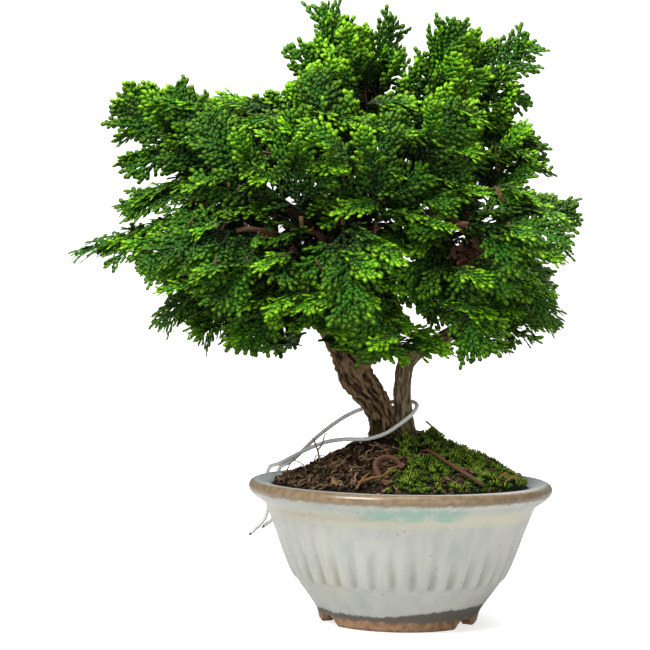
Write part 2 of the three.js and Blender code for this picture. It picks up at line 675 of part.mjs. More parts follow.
function buildPlant() {
  const places = sprayPlaces();
  const tree = buildTree(places);
  const rootHoles = SURFACE_ROOTS.map((root) => buildRoot(root, GAP));
  const soil = buildSoil([buildTrunk(LEADER, GAP), buildTrunk(SECOND, GAP), ...rootHoles]);
  const pieces = [
    ["pot", buildPot(), "glaze"],
    ["drain_screen", buildScreen(), "screen"],
    ["soil", soil, "soil"],
    ["moss", buildMoss(soil), "moss"],
    ["tree", tree, "bark"],
    ...SURFACE_ROOTS.map((root) => [root.name, buildRoot(root), "root"]),
    ["tie_wire", buildWire(), "wire"],
    ...buildSprays(places, tree).map(([name, solid]) => [name, solid, "foliage"]),
  ];
  const plant = new THREE.Group();
  for (const [name, solid, colour] of pieces) plant.add(meshOf(name, solid, colour));
  const box = new THREE.Box3().setFromObject(plant);
  const middle = box.getCenter(new THREE.Vector3());
  plant.position.set(-middle.x, -middle.y, -box.min.z);
  return plant;
}

export default buildPlant();
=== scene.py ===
"""The finished look of a small hinoki cypress bonsai with two trunks, in a fluted stoneware pot.

Lengths are in millimetres round the pot's own axis, with the ground at height 0 and the front
towards -Y, until a mesh is made. MeshDraft.build then turns them into metres in the shared frame.
"""

from __future__ import annotations

import json
import logging
import math
from dataclasses import dataclass, field
from enum import Enum
from typing import Iterator, Sequence

import bmesh
import bpy
import numpy as np
from mathutils import Matrix, Vector, kdtree, noise

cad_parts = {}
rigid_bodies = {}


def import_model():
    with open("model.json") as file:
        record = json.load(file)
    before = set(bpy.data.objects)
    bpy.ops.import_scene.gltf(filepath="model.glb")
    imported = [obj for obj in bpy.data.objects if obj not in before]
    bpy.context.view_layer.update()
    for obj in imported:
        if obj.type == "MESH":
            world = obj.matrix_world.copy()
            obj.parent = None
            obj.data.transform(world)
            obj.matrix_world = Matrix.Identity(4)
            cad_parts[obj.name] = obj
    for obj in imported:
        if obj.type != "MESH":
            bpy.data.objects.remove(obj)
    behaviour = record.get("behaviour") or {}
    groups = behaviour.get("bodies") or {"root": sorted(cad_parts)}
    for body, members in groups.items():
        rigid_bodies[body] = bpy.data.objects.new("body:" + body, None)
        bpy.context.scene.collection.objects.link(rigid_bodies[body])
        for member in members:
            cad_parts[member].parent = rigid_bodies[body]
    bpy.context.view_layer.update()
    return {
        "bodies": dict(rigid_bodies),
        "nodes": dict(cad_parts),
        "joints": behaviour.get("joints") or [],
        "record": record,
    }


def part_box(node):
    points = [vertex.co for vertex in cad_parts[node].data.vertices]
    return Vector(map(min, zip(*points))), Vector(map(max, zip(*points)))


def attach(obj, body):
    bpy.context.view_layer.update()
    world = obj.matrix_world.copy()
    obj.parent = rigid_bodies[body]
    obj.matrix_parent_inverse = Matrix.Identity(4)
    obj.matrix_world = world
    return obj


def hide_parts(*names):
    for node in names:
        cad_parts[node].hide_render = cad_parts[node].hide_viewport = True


MM = 0.001
SEED = 1847
UP = np.array([0.0, 0.0, 1.0])
GOLDEN_TURN = math.radians(137.5)

Colour = tuple[float, float, float, float]
Pair = tuple[float, float]
Point = tuple[float, float, float]
Array = np.ndarray
Piece = bpy.types.Object
Material = bpy.types.Material
Socket = bpy.types.NodeSocket
Inputs = dict[int | str, object]
LOG = logging.getLogger("bonsai")


# ---- colour and geometry helpers


def srgb(red: int, green: int, blue: int) -> Colour:
    """Turns a screen colour into the linear colour that a shader takes.

    Args:
        red: Red from 0 to 255.
        green: Green from 0 to 255.
        blue: Blue from 0 to 255.

    Returns:
        Linear red, green and blue, and an alpha of 1.
    """
    linear = [((c / 255 + 0.055) / 1.055) ** 2.4 if c > 10 else c / 255 / 12.92 for c in (red, green, blue)]
    return (linear[0], linear[1], linear[2], 1.0)


def unit(vectors: Array) -> Array:
    """Scales each vector to a length of 1."""
    return vectors / np.maximum(np.linalg.norm(vectors, axis=-1, keepdims=True), 1e-12)


def smooth_step(value: Array | float, low: float, high: float) -> Array | float:
    """Rises smoothly from 0 at low to 1 at high."""
    share = np.clip((np.asarray(value, float) - low) / (high - low), 0, 1)
    return share * share * (3 - 2 * share)


def ripple(x: float, y: float, z: float, scale: float, octaves: int = 3) -> float:
    """Layered noise between about -1 and 1, with features about scale millimetres across."""
    place = Vector((x / scale, y / scale, z / scale))
    return noise.fractal(place, 1.0, 2.1, octaves, noise_basis="PERLIN_ORIGINAL")


def turn_about(axis: Array, angle: float) -> Array:
    """The 3 by 3 rotation about an axis by an angle in radians."""
    return np.array(Matrix.Rotation(angle, 3, Vector(axis)))


def polar(radius: float, angle: float) -> Pair:
    """The x and y of a place at a radius and an angle round the axis."""
    return radius * math.cos(angle), radius * math.sin(angle)


def angles_round(count: int) -> Array:
    """A number of angles that go once round, from 0."""
    return np.arange(count) * 2 * math.pi / count


def pose_at(aim: Array, facing: Array, place: Array) -> Array:
    """The 4 by 4 place with its x along an aim and its z along a facing."""
    return np.vstack([np.column_stack([aim, np.cross(facing, aim), facing, place]), (0, 0, 0, 1)])


def nearest_point_tree(points: Array) -> kdtree.KDTree:
    """A tree that finds the nearest of many points.

    Args:
        points: The points, one per row.

    Returns:
        The tree, ready to search.
    """
    tree = kdtree.KDTree(len(points))
    for index, point in enumerate(points):
        tree.insert(Vector(point), index)
    tree.balance()
    return tree


def across(aim: Array, hint: Array) -> Array:
    """The unit vector nearest to a hint that is square to an aim."""
    aim = unit(aim)
    return unit(hint - aim * np.dot(hint, aim))


@dataclass(frozen=True)
class Site:
    """Where the pot's axis stands in the shared frame, in millimetres, and the frame's nodes."""

    axis: Array
    names: tuple[str, ...] = ()

    @classmethod
    def from_frame(cls, frame: dict) -> Site:
        """Reads the pot's axis and the nodes' names from the fixed frame."""
        low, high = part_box("pot")
        axis = np.array([(low.x + high.x) / 2, (low.y + high.y) / 2, low.z]) / MM
        return cls(axis, tuple(entry["node"] for entry in frame["record"]["subparts"]))

    def metres(self, points: Array) -> Array:
        """Millimetres round the pot's axis as metres in the shared frame."""
        return (points + self.axis) * MM

    def nodes(self, start: str) -> list[str]:
        """The names of the frame's nodes that begin with a word, in order."""
        return sorted(name for name in self.names if name.startswith(start))

    def node_points(self, name: str) -> Array:
        """The distinct corners of a frame node, in millimetres round the pot's axis."""
        mesh = bpy.data.objects[name].data
        flat = np.zeros(len(mesh.vertices) * 3)
        mesh.vertices.foreach_get("co", flat)
        return np.unique(np.round(flat.reshape(-1, 3) / MM - self.axis, 3), axis=0)


class Spline:
    """A smooth curve through points: a centripetal Catmull-Rom spline, measured by its length."""

    DETAIL = 40

    def __init__(self, points: Sequence[Sequence[float]]) -> None:
        """Args:
        points: The points that the curve passes, each with any number of coordinates.
        """
        knots = np.array(points, float)
        ends = [2 * knots[0] - knots[1], *knots, 2 * knots[-1] - knots[-2]]
        stretches = [self._stretch(*ends[i : i + 4]) for i in range(len(knots) - 1)]
        self.track = np.vstack([*stretches, knots[-1:]])
        steps = np.linalg.norm(np.diff(self.track[:, :3], axis=0), axis=1)
        self.travel = np.concatenate([[0.0], np.cumsum(steps)])
        self.length = float(self.travel[-1])

    def _stretch(self, a: Array, b: Array, c: Array, d: Array) -> Array:
        """Points of the curve from b up to c, with a before them and d after them.

        Args:
            a: The knot before.
            b: The knot where the stretch begins.
            c: The knot where it ends.
            d: The knot after.

        Returns:
            The stretch's points, without its end.
        """
        gaps = [max(float(np.linalg.norm((q - p)[:3])) ** 0.5, 1e-4) for p, q in ((a, b), (b, c), (c, d))]
        first, middle, last = gaps
        leave = ((b - a) / first - (c - a) / (first + middle) + (c - b) / middle) * middle
        arrive = ((c - b) / middle - (d - b) / (middle + last) + (d - c) / last) * middle
        t = np.linspace(0, 1, self.DETAIL, endpoint=False)[:, None]
        square, cube = t * t, t * t * t
        hermite = (2 * cube - 3 * square + 1) * b + (cube - 2 * square + t) * leave
        return hermite + (3 * square - 2 * cube) * c + (cube - square) * arrive

    def at(self, shares: Array | float) -> Array:
        """Points at shares of the curve's length, from 0 at its start to 1 at its end."""
        travel = np.asarray(shares, float) * self.length
        return np.stack([np.interp(travel, self.travel, column) for column in self.track.T], axis=-1)

    def tangent(self, shares: Array | float) -> Array:
        """Unit tangents at shares of the curve's length."""
        shares = np.asarray(shares, float)
        ahead, behind = self.at(np.minimum(shares + 0.01, 1)), self.at(np.maximum(shares - 0.01, 0))
        return unit(ahead[..., :3] - behind[..., :3])

    def share_at_height(self, height: float) -> float:
        """The share of its length where a curve that climbs reaches a height."""
        return float(np.interp(height, self.track[:, 2], self.travel)) / self.length


def frames_along(centres: Array) -> tuple[Array, Array]:
    """Carries two side vectors along a line of points without twisting them.

    Args:
        centres: The points of the line, one per row.

    Returns:
        Two arrays of unit vectors, square to the line and to each other.
    """
    tangents = unit(np.gradient(centres, axis=0))
    hint = np.array([0.0, -1.0, 0.0]) if abs(tangents[0][1]) < 0.9 else UP
    side = across(tangents[0], hint)
    first, second = [], []
    for tangent in tangents:
        side = across(tangent, side)
        first.append(side)
        second.append(np.cross(tangent, side))
    return np.array(first), np.array(second)


class MeshDraft:
    """The points, faces and point values of a mesh in the making, in millimetres."""

    def __init__(self) -> None:
        """Starts an empty mesh."""
        self.points: list[Array] = []
        self.faces: list[Array] = []
        self.values: dict[str, list[Array]] = {}
        self.count = 0

    def add(self, points: Array, faces: Array | None = None, **values: Array | float) -> None:
        """Adds a part to the mesh.

        Args:
            points: Its points, one per row.
            faces: Its faces as rows of three or four point numbers, counted from its own points.
            **values: A value for each point, or one for them all, by name.
        """
        self.points.append(np.asarray(points, float))
        if faces is not None and len(faces):
            self.faces.append(np.asarray(faces) + self.count)
        for name, value in values.items():
            rows = np.asarray(value, float)
            per_point = np.broadcast_to(rows, (len(points),)) if rows.ndim == 0 else rows
            self.values.setdefault(name, []).append(per_point)
        self.count += len(points)

    def grid(self, points: Array, closed: bool = True, caps: bool = False, **values: Array) -> None:
        """Adds a grid of points: rows along, columns round.

        Args:
            points: An array of rows, columns and coordinates.
            closed: Whether the last column joins the first.
            caps: Whether the first and last rows are closed with a fan of faces.
            **values: An array of rows and columns for each value.
        """
        rows, columns = points.shape[:2]
        ahead = np.arange(columns if closed else columns - 1)
        here = np.arange(rows - 1)[:, None] * columns + ahead
        right = np.arange(rows - 1)[:, None] * columns + (ahead + 1) % columns
        faces = np.stack([here, right, right + columns, here + columns], axis=-1).reshape(-1, 4)
        flat = points.reshape(-1, 3)
        start = self.count
        self.add(flat, faces, **{name: value.reshape(-1) for name, value in values.items()})
        if caps:
            for row, flip in ((0, True), (rows - 1, False)):
                middle = points[row].mean(axis=0)[None]
                hub = self.count - start
                ring = row * columns + np.arange(columns)
                after = np.roll(ring, -1)
                pair = (after, ring) if flip else (ring, after)
                fan = np.stack([*pair, np.full(columns, hub)], axis=-1)
                means = {name: value[row].mean(keepdims=True) for name, value in values.items()}
                self.add(middle, fan - (self.count - start), **means)

    def build(self, name: str, site: Site, material: Material | None = None) -> Piece:
        """Makes the object, at the origin, with its place in its mesh.

        Args:
            name: The object's name.
            site: Where the pot stands.
            material: What the object is made of.

        Returns:
            The object, linked to the scene.
        """
        mesh = bpy.data.meshes.new(name)
        points = site.metres(np.vstack(self.points)).astype(np.float32)
        mesh.vertices.add(len(points))
        mesh.vertices.foreach_set("co", points.ravel())
        if self.faces:
            sizes = np.concatenate([np.full(len(f), f.shape[1]) for f in self.faces])
            corners = np.concatenate([f.ravel() for f in self.faces])
            mesh.loops.add(len(corners))
            mesh.loops.foreach_set("vertex_index", corners.astype(np.int32))
            mesh.polygons.add(len(sizes))
            starts = np.concatenate([[0], np.cumsum(sizes)[:-1]])
            mesh.polygons.foreach_set("loop_start", starts.astype(np.int32))
        mesh.update(calc_edges=True)
        for label, parts in self.values.items():
            rows = np.concatenate(parts, axis=0).astype(np.float32)
            kind = "FLOAT_VECTOR" if rows.ndim == 2 else "FLOAT"
            layer = mesh.attributes.new(label, kind, "POINT")
            layer.data.foreach_set("vector" if rows.ndim == 2 else "value", rows.ravel())
        if self.faces:
            mesh.shade_smooth()
        if material:
            mesh.materials.append(material)
        made = bpy.data.objects.new(name, mesh)
        bpy.context.scene.collection.objects.link(made)
        return made


def add_tube(draft: MeshDraft, centres: Array, radii: Array | float, sides: int, **values: float) -> None:
    """Adds a closed round tube along a line of points.

    Args:
        draft: The mesh that takes it.
        centres: The points of its centreline.
        radii: Its radius at each point, or one for them all.
        sides: How many columns it has.
        **values: A value for all its points, by name.
    """
    first, second = frames_along(centres)
    angles = angles_round(sides)
    reach = np.broadcast_to(np.asarray(radii, float), (len(centres),))[:, None, None]
    ring = np.cos(angles)[None, :, None] * first[:, None] + np.sin(angles)[None, :, None] * second[:, None]
    grids = {name: np.full((len(centres), sides), value) for name, value in values.items()}
    draft.grid(centres[:, None] + ring * reach, caps=True, **grids)


def swell_along(line: Array, depth: float, scale: float) -> Array:
    """How much thicker a stem is at each point of a line, about 1."""
    return np.array([1 + depth * ripple(*point, scale, 2) for point in line])


# ---- node helpers


class NodeSheet:
    """Adds the nodes of one tree and links them."""

    def __init__(self, tree: bpy.types.NodeTree) -> None:
        """Args:
        tree: The tree that takes the nodes.
        """
        self.tree = tree

    def fill(self, node: bpy.types.Node, inputs: Inputs) -> None:
        """Gives a node a value or a socket for each of its inputs, by name or number.

        Args:
            node: The node.
            inputs: The values and sockets.
        """
        for key, value in inputs.items():
            if isinstance(value, Socket):
                self.tree.links.new(value, node.inputs[key])
            else:
                node.inputs[key].default_value = value

    def node(self, kind: str, inputs: Inputs | None = None, **settings: object) -> bpy.types.Node:
        """Adds a node.

        Args:
            kind: The node's type.
            inputs: A value or a socket for each of its inputs, by name or number.
            **settings: The node's own properties.

        Returns:
            The node.
        """
        made = self.tree.nodes.new(kind)
        for name, value in settings.items():
            setattr(made, name, value)
        self.fill(made, inputs or {})
        return made

    def maths(self, operation: str, *values: object) -> Socket:
        """The result of a sum on sockets and numbers."""
        return self.node("ShaderNodeMath", dict(enumerate(values)), operation=operation).outputs[0]

    def times(self, *values: object) -> Socket:
        """The product of sockets and numbers."""
        product = values[0]
        for value in values[1:]:
            product = self.maths("MULTIPLY", product, value)
        return product

    def vector(self, operation: str, inputs: Inputs) -> bpy.types.NodeOutputs:
        """The results of a sum on vectors."""
        return self.node("ShaderNodeVectorMath", inputs, operation=operation).outputs

    def axes(self, place: object) -> bpy.types.NodeOutputs:
        """The x, y and z of a vector."""
        return self.node("ShaderNodeSeparateXYZ", {0: place}).outputs

    def between(self, value: object, low: float, high: float) -> Socket:
        """A smooth rise from 0 where the value is low to 1 where it is high."""
        inputs = {0: value, 1: low, 2: high, 3: 0.0, 4: 1.0}
        return self.node("ShaderNodeMapRange", inputs, interpolation_type="SMOOTHSTEP").outputs[0]

    def band(self, value: object, low: float, high: float, edge: float) -> Socket:
        """1 between low and high, with soft edges."""
        above = self.between(value, low - edge, low + edge)
        below = self.between(value, high + edge, high - edge)
        return self.times(above, below)

    def noise(self, place: object, size: float, detail: float = 3.0, roughness: float = 0.55) -> Socket:
        """Noise from 0 to 1 with features of about a size in metres."""
        inputs = {"Vector": place, "Scale": 1 / size, "Detail": detail, "Roughness": roughness}
        return self.node("ShaderNodeTexNoise", inputs).outputs[0]

    def mix(self, share: object, first: object, second: object) -> Socket:
        """A blend of two colours."""
        return self.node("ShaderNodeMix", {0: share, 6: first, 7: second}, data_type="RGBA").outputs[2]

    def value(self, name: str) -> Socket:
        """A point value of the mesh, by name."""
        return self.node("ShaderNodeAttribute", attribute_name=name).outputs["Fac"]

    def place(self, site: Site | None = None, stretch: Point = (1, 1, 1)) -> Socket:
        """The object's own coordinates, centred on the pot's axis where a site is given."""
        where = self.node("ShaderNodeTexCoord").outputs["Object"]
        shift = tuple(-site.axis * MM) if site else (0.0, 0.0, 0.0)
        inputs = {"Vector": where, "Location": [s * k for s, k in zip(shift, stretch)], "Scale": stretch}
        return self.node("ShaderNodeMapping", inputs).outputs[0]


class Paint(NodeSheet):
    """A material in the making, whose colour is laid on in coats."""

    def __init__(self, name: str, base: Colour) -> None:
        """Args:
        name: The material's name.
        base: The colour under every coat.
        """
        self.material = bpy.data.materials.new(name)
        self.material.use_nodes = True
        super().__init__(self.material.node_tree)
        self.shader = self.tree.nodes["Principled BSDF"]
        self.colour: object = base

    def coat(self, share: object, colour: object) -> None:
        """Lays a share of a colour over the coats so far."""
        self.colour = self.mix(share, self.colour, colour)

    def done(
        self, height: object, depth: float, inputs: dict[str, object], strength: float = 1.0
    ) -> Material:
        """Joins the coats, the relief and the shader's other inputs.

        Args:
            height: The relief's height, from 0 to 1.
            depth: The relief's depth in metres.
            inputs: A value or a socket for each other input, by name.
            strength: How much of the relief shows.

        Returns:
            The finished material.
        """
        bump = self.node("ShaderNodeBump", {"Height": height, "Distance": depth, "Strength": strength})
        self.fill(self.shader, {"Base Color": self.colour, "Normal": bump.outputs[0], **inputs})
        return self.material


def new_node_tree(name: str, inputs: dict[str, str]) -> tuple[NodeSheet, bpy.types.NodeOutputs]:
    """Makes a Geometry Nodes tree that takes a geometry and named inputs, and gives a geometry.

    Args:
        name: The tree's name.
        inputs: The kind of each input, by its name.

    Returns:
        A sheet for the tree's nodes, and what its inputs give.
    """
    tree = bpy.data.node_groups.new(name, "GeometryNodeTree")
    for label, kind in {"Geometry": "Geometry", **inputs}.items():
        tree.interface.new_socket(label, in_out="INPUT", socket_type="NodeSocket" + kind)
    tree.interface.new_socket("Geometry", in_out="OUTPUT", socket_type="NodeSocketGeometry")
    sheet = NodeSheet(tree)
    return sheet, sheet.node("NodeGroupInput").outputs


def run_nodes(piece: Piece, tree: bpy.types.NodeTree, values: dict[str, object]) -> Piece:
    """Runs a Geometry Nodes tree on a piece, and keeps what it makes as the piece's own plain mesh.

    Args:
        piece: The piece that the tree changes.
        tree: The tree.
        values: A value for each of the tree's inputs, by name.

    Returns:
        The same piece.
    """
    modifier = piece.modifiers.new(tree.name, "NODES")
    modifier.node_group = tree
    for socket in tree.interface.items_tree:
        if socket.in_out == "INPUT" and socket.name in values:
            modifier[socket.identifier] = values[socket.name]
    depsgraph = bpy.context.evaluated_depsgraph_get()
    evaluated = piece.evaluated_get(depsgraph)
    mesh = bpy.data.meshes.new_from_object(evaluated, preserve_all_data_layers=True, depsgraph=depsgraph)
    mesh.name = piece.name
    piece.modifiers.clear()
    piece.data = mesh
    for label in Scatter.GUIDES:
        if label in mesh.attributes:
            mesh.attributes.remove(mesh.attributes[label])
    return piece


class Scatter:
    """A Geometry Nodes tree that sets a unit on each point, turned and sized by the point's values."""

    INPUTS = {"Unit": "Object", "Scale": "Float", "Spread": "Float", "Seed": "Int", "Finish": "Material"}
    GUIDES = {"aim": "FLOAT_VECTOR", "facing": "FLOAT_VECTOR", "size": "FLOAT"}

    def __init__(self) -> None:
        """Makes the tree."""
        sheet, given = new_node_tree("set_on_points", self.INPUTS)
        self.tree = sheet.tree
        aim, facing, own_size = (
            sheet.node("GeometryNodeInputNamedAttribute", {"Name": name}, data_type=kind).outputs[0]
            for name, kind in self.GUIDES.items()
        )
        turn = {"primary_axis": "Y", "secondary_axis": "Z"}
        rotation = sheet.node("FunctionNodeAxesToRotation", {0: aim, 1: facing}, **turn)
        low, high = (sheet.maths(sign, 1.0, given["Spread"]) for sign in ("SUBTRACT", "ADD"))
        inputs = {2: low, 3: high, "Seed": given["Seed"]}
        random = sheet.node("FunctionNodeRandomValue", inputs, data_type="FLOAT")
        size = sheet.times(own_size, given["Scale"], random.outputs[1])
        unit_mesh = sheet.node("GeometryNodeObjectInfo", {"Object": given["Unit"]}).outputs["Geometry"]
        inputs = {"Points": given["Geometry"], "Instance": unit_mesh, "Rotation": rotation.outputs[0]}
        copies = sheet.node("GeometryNodeInstanceOnPoints", {**inputs, "Scale": size}).outputs[0]
        joined = sheet.node("GeometryNodeRealizeInstances", {0: copies}).outputs[0]
        dressed = sheet.node("GeometryNodeSetMaterial", {"Geometry": joined, "Material": given["Finish"]})
        sheet.node("NodeGroupOutput", {0: dressed.outputs[0]})

    def dress(
        self,
        points: Piece,
        unit_piece: Piece,
        finish: Material,
        scale: float = 1.0,
        spread: float = 0.1,
    ) -> Piece:
        """Sets copies of a unit on an object's points and makes the result its mesh.

        Args:
            points: The object whose points carry the values aim, facing and size.
            unit_piece: What is set on them, pointing along +Y and facing +Z.
            finish: The copies' material.
            scale: The size of every copy.
            spread: How far copies differ in size, as a share.

        Returns:
            The same object, with a plain mesh.
        """
        values = {"Unit": unit_piece, "Scale": scale, "Spread": spread, "Seed": SEED, "Finish": finish}
        return run_nodes(points, self.tree, values)


def report(piece: Piece, slot: str, *nodes: str) -> Piece:
    """Lets a piece ride on the body, hides the frame nodes that it replaces, and logs it.

    Args:
        piece: The finished piece.
        slot: The name of the material slot for its finish; not used.
        *nodes: The frame nodes that it stands for.

    Returns:
        The same piece.
    """
    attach(piece, "root")
    if nodes:
        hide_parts(*nodes)
    piece.data.calc_loop_triangles()
    LOG.info("%s: %d triangles", piece.name, len(piece.data.loop_triangles))
    return piece


# ---- finishes


@dataclass(frozen=True)
class ScaleLeafFinish:
    """Living scale leaves, nearly black inside the crown with painted shade, with yellow-green tips, and dead
    brown ones.
    """

    shade: Colour = srgb(5, 12, 4)
    deep: Colour = srgb(15, 42, 8)
    green: Colour = srgb(43, 116, 8)
    fresh: Colour = srgb(88, 174, 14)
    tip: Colour = srgb(150, 214, 26)
    dead: Colour = srgb(92, 52, 32)
    dead_shade: Colour = srgb(40, 22, 14)
    patch_size: float = 0.01
    freshness: float = 0.7
    seam_shade_share: float = 0.22
    tip_share: float = 0.95
    painted_underside_shade: float = 0.6
    darkest_painted_shade: float = 0.97
    roughness: float = 0.5
    specular: float = 0.22

    def material(self) -> Material:
        """Makes the material, led by the values tip, tone, keel, open and dead, with painted shade from keel,
        open and the leaf's facing.

        Returns:
            The material.
        """
        paint = Paint("scale_leaves", self.deep)
        place = paint.place()
        paint.coat(paint.between(paint.noise(place, self.patch_size), 0.35, 0.65), self.green)
        paint.coat(paint.times(paint.value("tone"), self.freshness), self.fresh)
        # Painted shade at each leaf's base and sides, where the leaves overlap.
        paint.coat(paint.times(paint.value("keel"), self.seam_shade_share), self.deep)
        paint.coat(paint.times(paint.value("tip"), self.tip_share), self.tip)
        # Painted shade on the faces of the leaves that point down.
        facing = paint.node("ShaderNodeNewGeometry").outputs["Normal"]
        down = paint.between(paint.axes(facing)[2], 0.15, -0.5)
        paint.coat(paint.times(down, self.painted_underside_shade), self.shade)
        # Painted shade deep in the crown: the lower open is, the nearer a leaf comes to the shade colour,
        # dead leaves too.
        painted_shade = paint.maths("MULTIPLY_ADD", paint.value("open"), -self.darkest_painted_shade, self.darkest_painted_shade)
        paint.coat(painted_shade, self.shade)
        paint.coat(paint.value("dead"), paint.mix(painted_shade, self.dead, self.dead_shade))
        inputs = {"Roughness": self.roughness, "Specular IOR Level": self.specular}
        return paint.done(paint.noise(place, 0.0007, 2.0), 0.00012, inputs)


@dataclass(frozen=True)
class BarkFinish:
    """Flaking bark, grey on its ridges and reddish brown in its cracks, and green near the ground."""

    name: str
    ridge: Colour
    crack: Colour
    mossy: float = 0.7
    red: Colour = srgb(112, 74, 52)
    moss: Colour = srgb(74, 84, 34)
    moss_top: float = 0.079
    moss_full: float = 0.068
    roughness: float = 0.9
    specular: float = 0.25

    def material(self, site: Site) -> Material:
        """Makes the material, led by the value relief.

        Args:
            site: Where the pot stands.

        Returns:
            The material.
        """
        paint = Paint(self.name, self.crack)
        grain = paint.noise(paint.place(site, (1, 1, 0.3)), 0.0009, 4.0, 0.65)
        relief = paint.maths("ADD", paint.value("relief"), paint.times(grain, 0.7))
        paint.coat(paint.between(relief, 0.3, 1.35), self.ridge)
        place = paint.place(site)
        blotches = paint.noise(place, 0.006)
        paint.coat(paint.times(paint.between(blotches, 0.45, 0.7), 0.5), self.red)
        low = paint.between(paint.axes(place)[2], self.moss_top, self.moss_full)
        paint.coat(paint.times(low, paint.between(blotches, 0.4, 0.6), self.mossy), self.moss)
        return paint.done(grain, 0.0004, {"Roughness": self.roughness, "Specular IOR Level": self.specular})


@dataclass(frozen=True)
class GlazeFinish:
    """Pale grey-green stoneware glaze over bare orange clay at the foot. Heights are in metres."""

    glaze: Colour = srgb(207, 209, 200)
    streak: Colour = srgb(194, 197, 191)
    warm: Colour = srgb(222, 216, 192)
    olive: Colour = srgb(138, 130, 96)
    valley: Colour = srgb(150, 152, 142)
    lip: Colour = srgb(150, 124, 88)
    lip_dark: Colour = srgb(122, 98, 64)
    lip_top: Colour = srgb(188, 200, 196)
    pool: Colour = srgb(158, 198, 180)
    clay: Colour = srgb(176, 138, 102)
    clay_dark: Colour = srgb(134, 98, 68)
    burnt: Colour = srgb(104, 98, 88)
    rust: Colour = srgb(150, 104, 62)
    bare_top: float = 0.0036
    burnt_top: float = 0.0056
    burnt_rise: float = 0.0026
    pool_foot: float = 0.0414
    gloss: float = 0.27
    unglazed: float = 0.5

    def material(self, site: Site) -> Material:
        """Makes the material, led by height, angle and the value valley.

        Args:
            site: Where the pot stands.

        Returns:
            The material.
        """
        paint = Paint("celadon_glaze", self.glaze)
        place = paint.place(site)
        x, y, z = paint.axes(place)
        radius = paint.maths("SQRT", paint.maths("ADD", paint.times(x, x), paint.times(y, y)))
        broad, fine = paint.noise(place, 0.02, 2.0), paint.noise(place, 0.0025)
        streaks = paint.noise(paint.place(site, (1, 1, 0.12)), 0.004)
        rough_z = paint.maths("ADD", z, paint.times(paint.maths("SUBTRACT", fine, 0.5), 0.0024))

        # The wall: grey streaks, warm patches, and a creamy band under the lip.
        paint.coat(paint.between(streaks, 0.35, 0.75), self.streak)
        paint.coat(paint.times(paint.between(broad, 0.5, 0.8), 0.35), self.warm)
        paint.coat(paint.times(paint.band(rough_z, 0.0405, 0.0455, 0.0014), 0.75), self.warm)

        # The flutes: olive glaze that pooled low in them, and darker valleys, partly pooled glaze and partly
        # painted shade.
        low = paint.between(z, 0.029, 0.0175)
        pooled = paint.times(paint.value("valley"), low, paint.between(broad, 0.3, 0.65), 0.5)
        paint.coat(pooled, self.olive)
        # Painted shade in part: the valleys turn grey where the flutes dip in.
        paint.coat(paint.times(paint.value("valley"), 0.16), self.valley)

        # The blue-green pool under the front of the lip, with drips along its foot.
        swing = paint.maths("ABSOLUTE", paint.maths("SUBTRACT", x, 0.002))
        middle = paint.times(paint.between(y, -0.030, -0.046), paint.between(swing, 0.024, 0.012))
        drips = paint.noise(paint.place(site, (1, 1, 0.3)), 0.006)
        foot = paint.maths("MULTIPLY_ADD", drips, 0.003, self.pool_foot)
        rise = paint.between(paint.maths("SUBTRACT", z, foot), -0.0004, 0.0006)
        under = paint.between(z, 0.0500, 0.0455)
        pool = paint.times(rise, under, middle, paint.between(streaks, 0.2, 0.6), 0.9)
        paint.coat(pool, self.pool)

        # The lip: thin brown glaze on its edge, and pale glaze on its top.
        edge = paint.between(radius, 0.0545, 0.0562)
        thin = paint.times(edge, paint.between(rough_z, 0.0482, 0.0496), 0.92)
        paint.coat(thin, paint.mix(paint.between(fine, 0.3, 0.7), self.lip_dark, self.lip))
        top = paint.times(paint.between(radius, 0.0556, 0.0540), paint.between(z, 0.0505, 0.0520))
        paint.coat(top, self.lip_top)

        # Rust specks, which crowd under the left of the lip.
        cells = paint.node("ShaderNodeTexVoronoi", {"Vector": place, "Scale": 420.0})
        spot = paint.between(cells.outputs["Distance"], 0.22, 0.12)
        chance = paint.node("ShaderNodeSeparateColor", {0: cells.outputs["Color"]}).outputs[0]
        rusty = paint.times(paint.between(x, -0.006, -0.022), paint.band(z, 0.0415, 0.0465, 0.0012))
        share = paint.maths("MULTIPLY_ADD", rusty, -0.45, 0.93)
        paint.coat(paint.times(spot, paint.maths("GREATER_THAN", chance, share), 0.55), self.rust)

        # The foot: a burnt band that climbs to the right, over bare clay.
        right = paint.between(x, -0.012, 0.022)
        burnt_top = paint.maths("MULTIPLY_ADD", right, self.burnt_rise, self.burnt_top)
        over_band = paint.maths("SUBTRACT", rough_z, burnt_top)
        paint.coat(paint.between(over_band, 0.0006, -0.0004), self.burnt)
        bare = paint.between(paint.maths("SUBTRACT", rough_z, self.bare_top), 0.0006, -0.0004)
        paint.coat(bare, paint.mix(paint.between(fine, 0.35, 0.7), self.clay, self.clay_dark))

        unglazed = paint.between(over_band, 0.0004, -0.0006)
        roughness = paint.maths("MULTIPLY_ADD", unglazed, self.unglazed, self.gloss)
        rings = paint.noise(paint.place(site, (0.05, 0.05, 1)), 0.0011, 2.0)
        height = paint.times(paint.maths("ADD", rings, fine), 0.5)
        inputs = {"Roughness": roughness, "Coat Weight": 0.25, "Coat Roughness": 0.2}
        return paint.done(height, 0.00035, inputs, strength=0.6)


@dataclass(frozen=True)
class EarthFinish:
    """Crumbly soil, and the crumbs and dead litter on it."""

    name: str
    dark: Colour
    light: Colour
    size: float = 0.0016
    roughness: float = 0.92
    specular: float = 0.2

    def material(self) -> Material:
        """Makes the material, lightened by the value tone.

        Returns:
            The material.
        """
        paint = Paint(self.name, self.dark)
        crumbs = paint.noise(paint.place(), self.size, 4.0, 0.65)
        share = paint.times(paint.between(crumbs, 0.35, 0.75), 0.45)
        paint.coat(paint.maths("ADD", share, paint.times(paint.value("tone"), 0.8)), self.light)
        inputs = {"Roughness": self.roughness, "Specular IOR Level": self.specular}
        return paint.done(crumbs, self.size * 0.4, inputs)


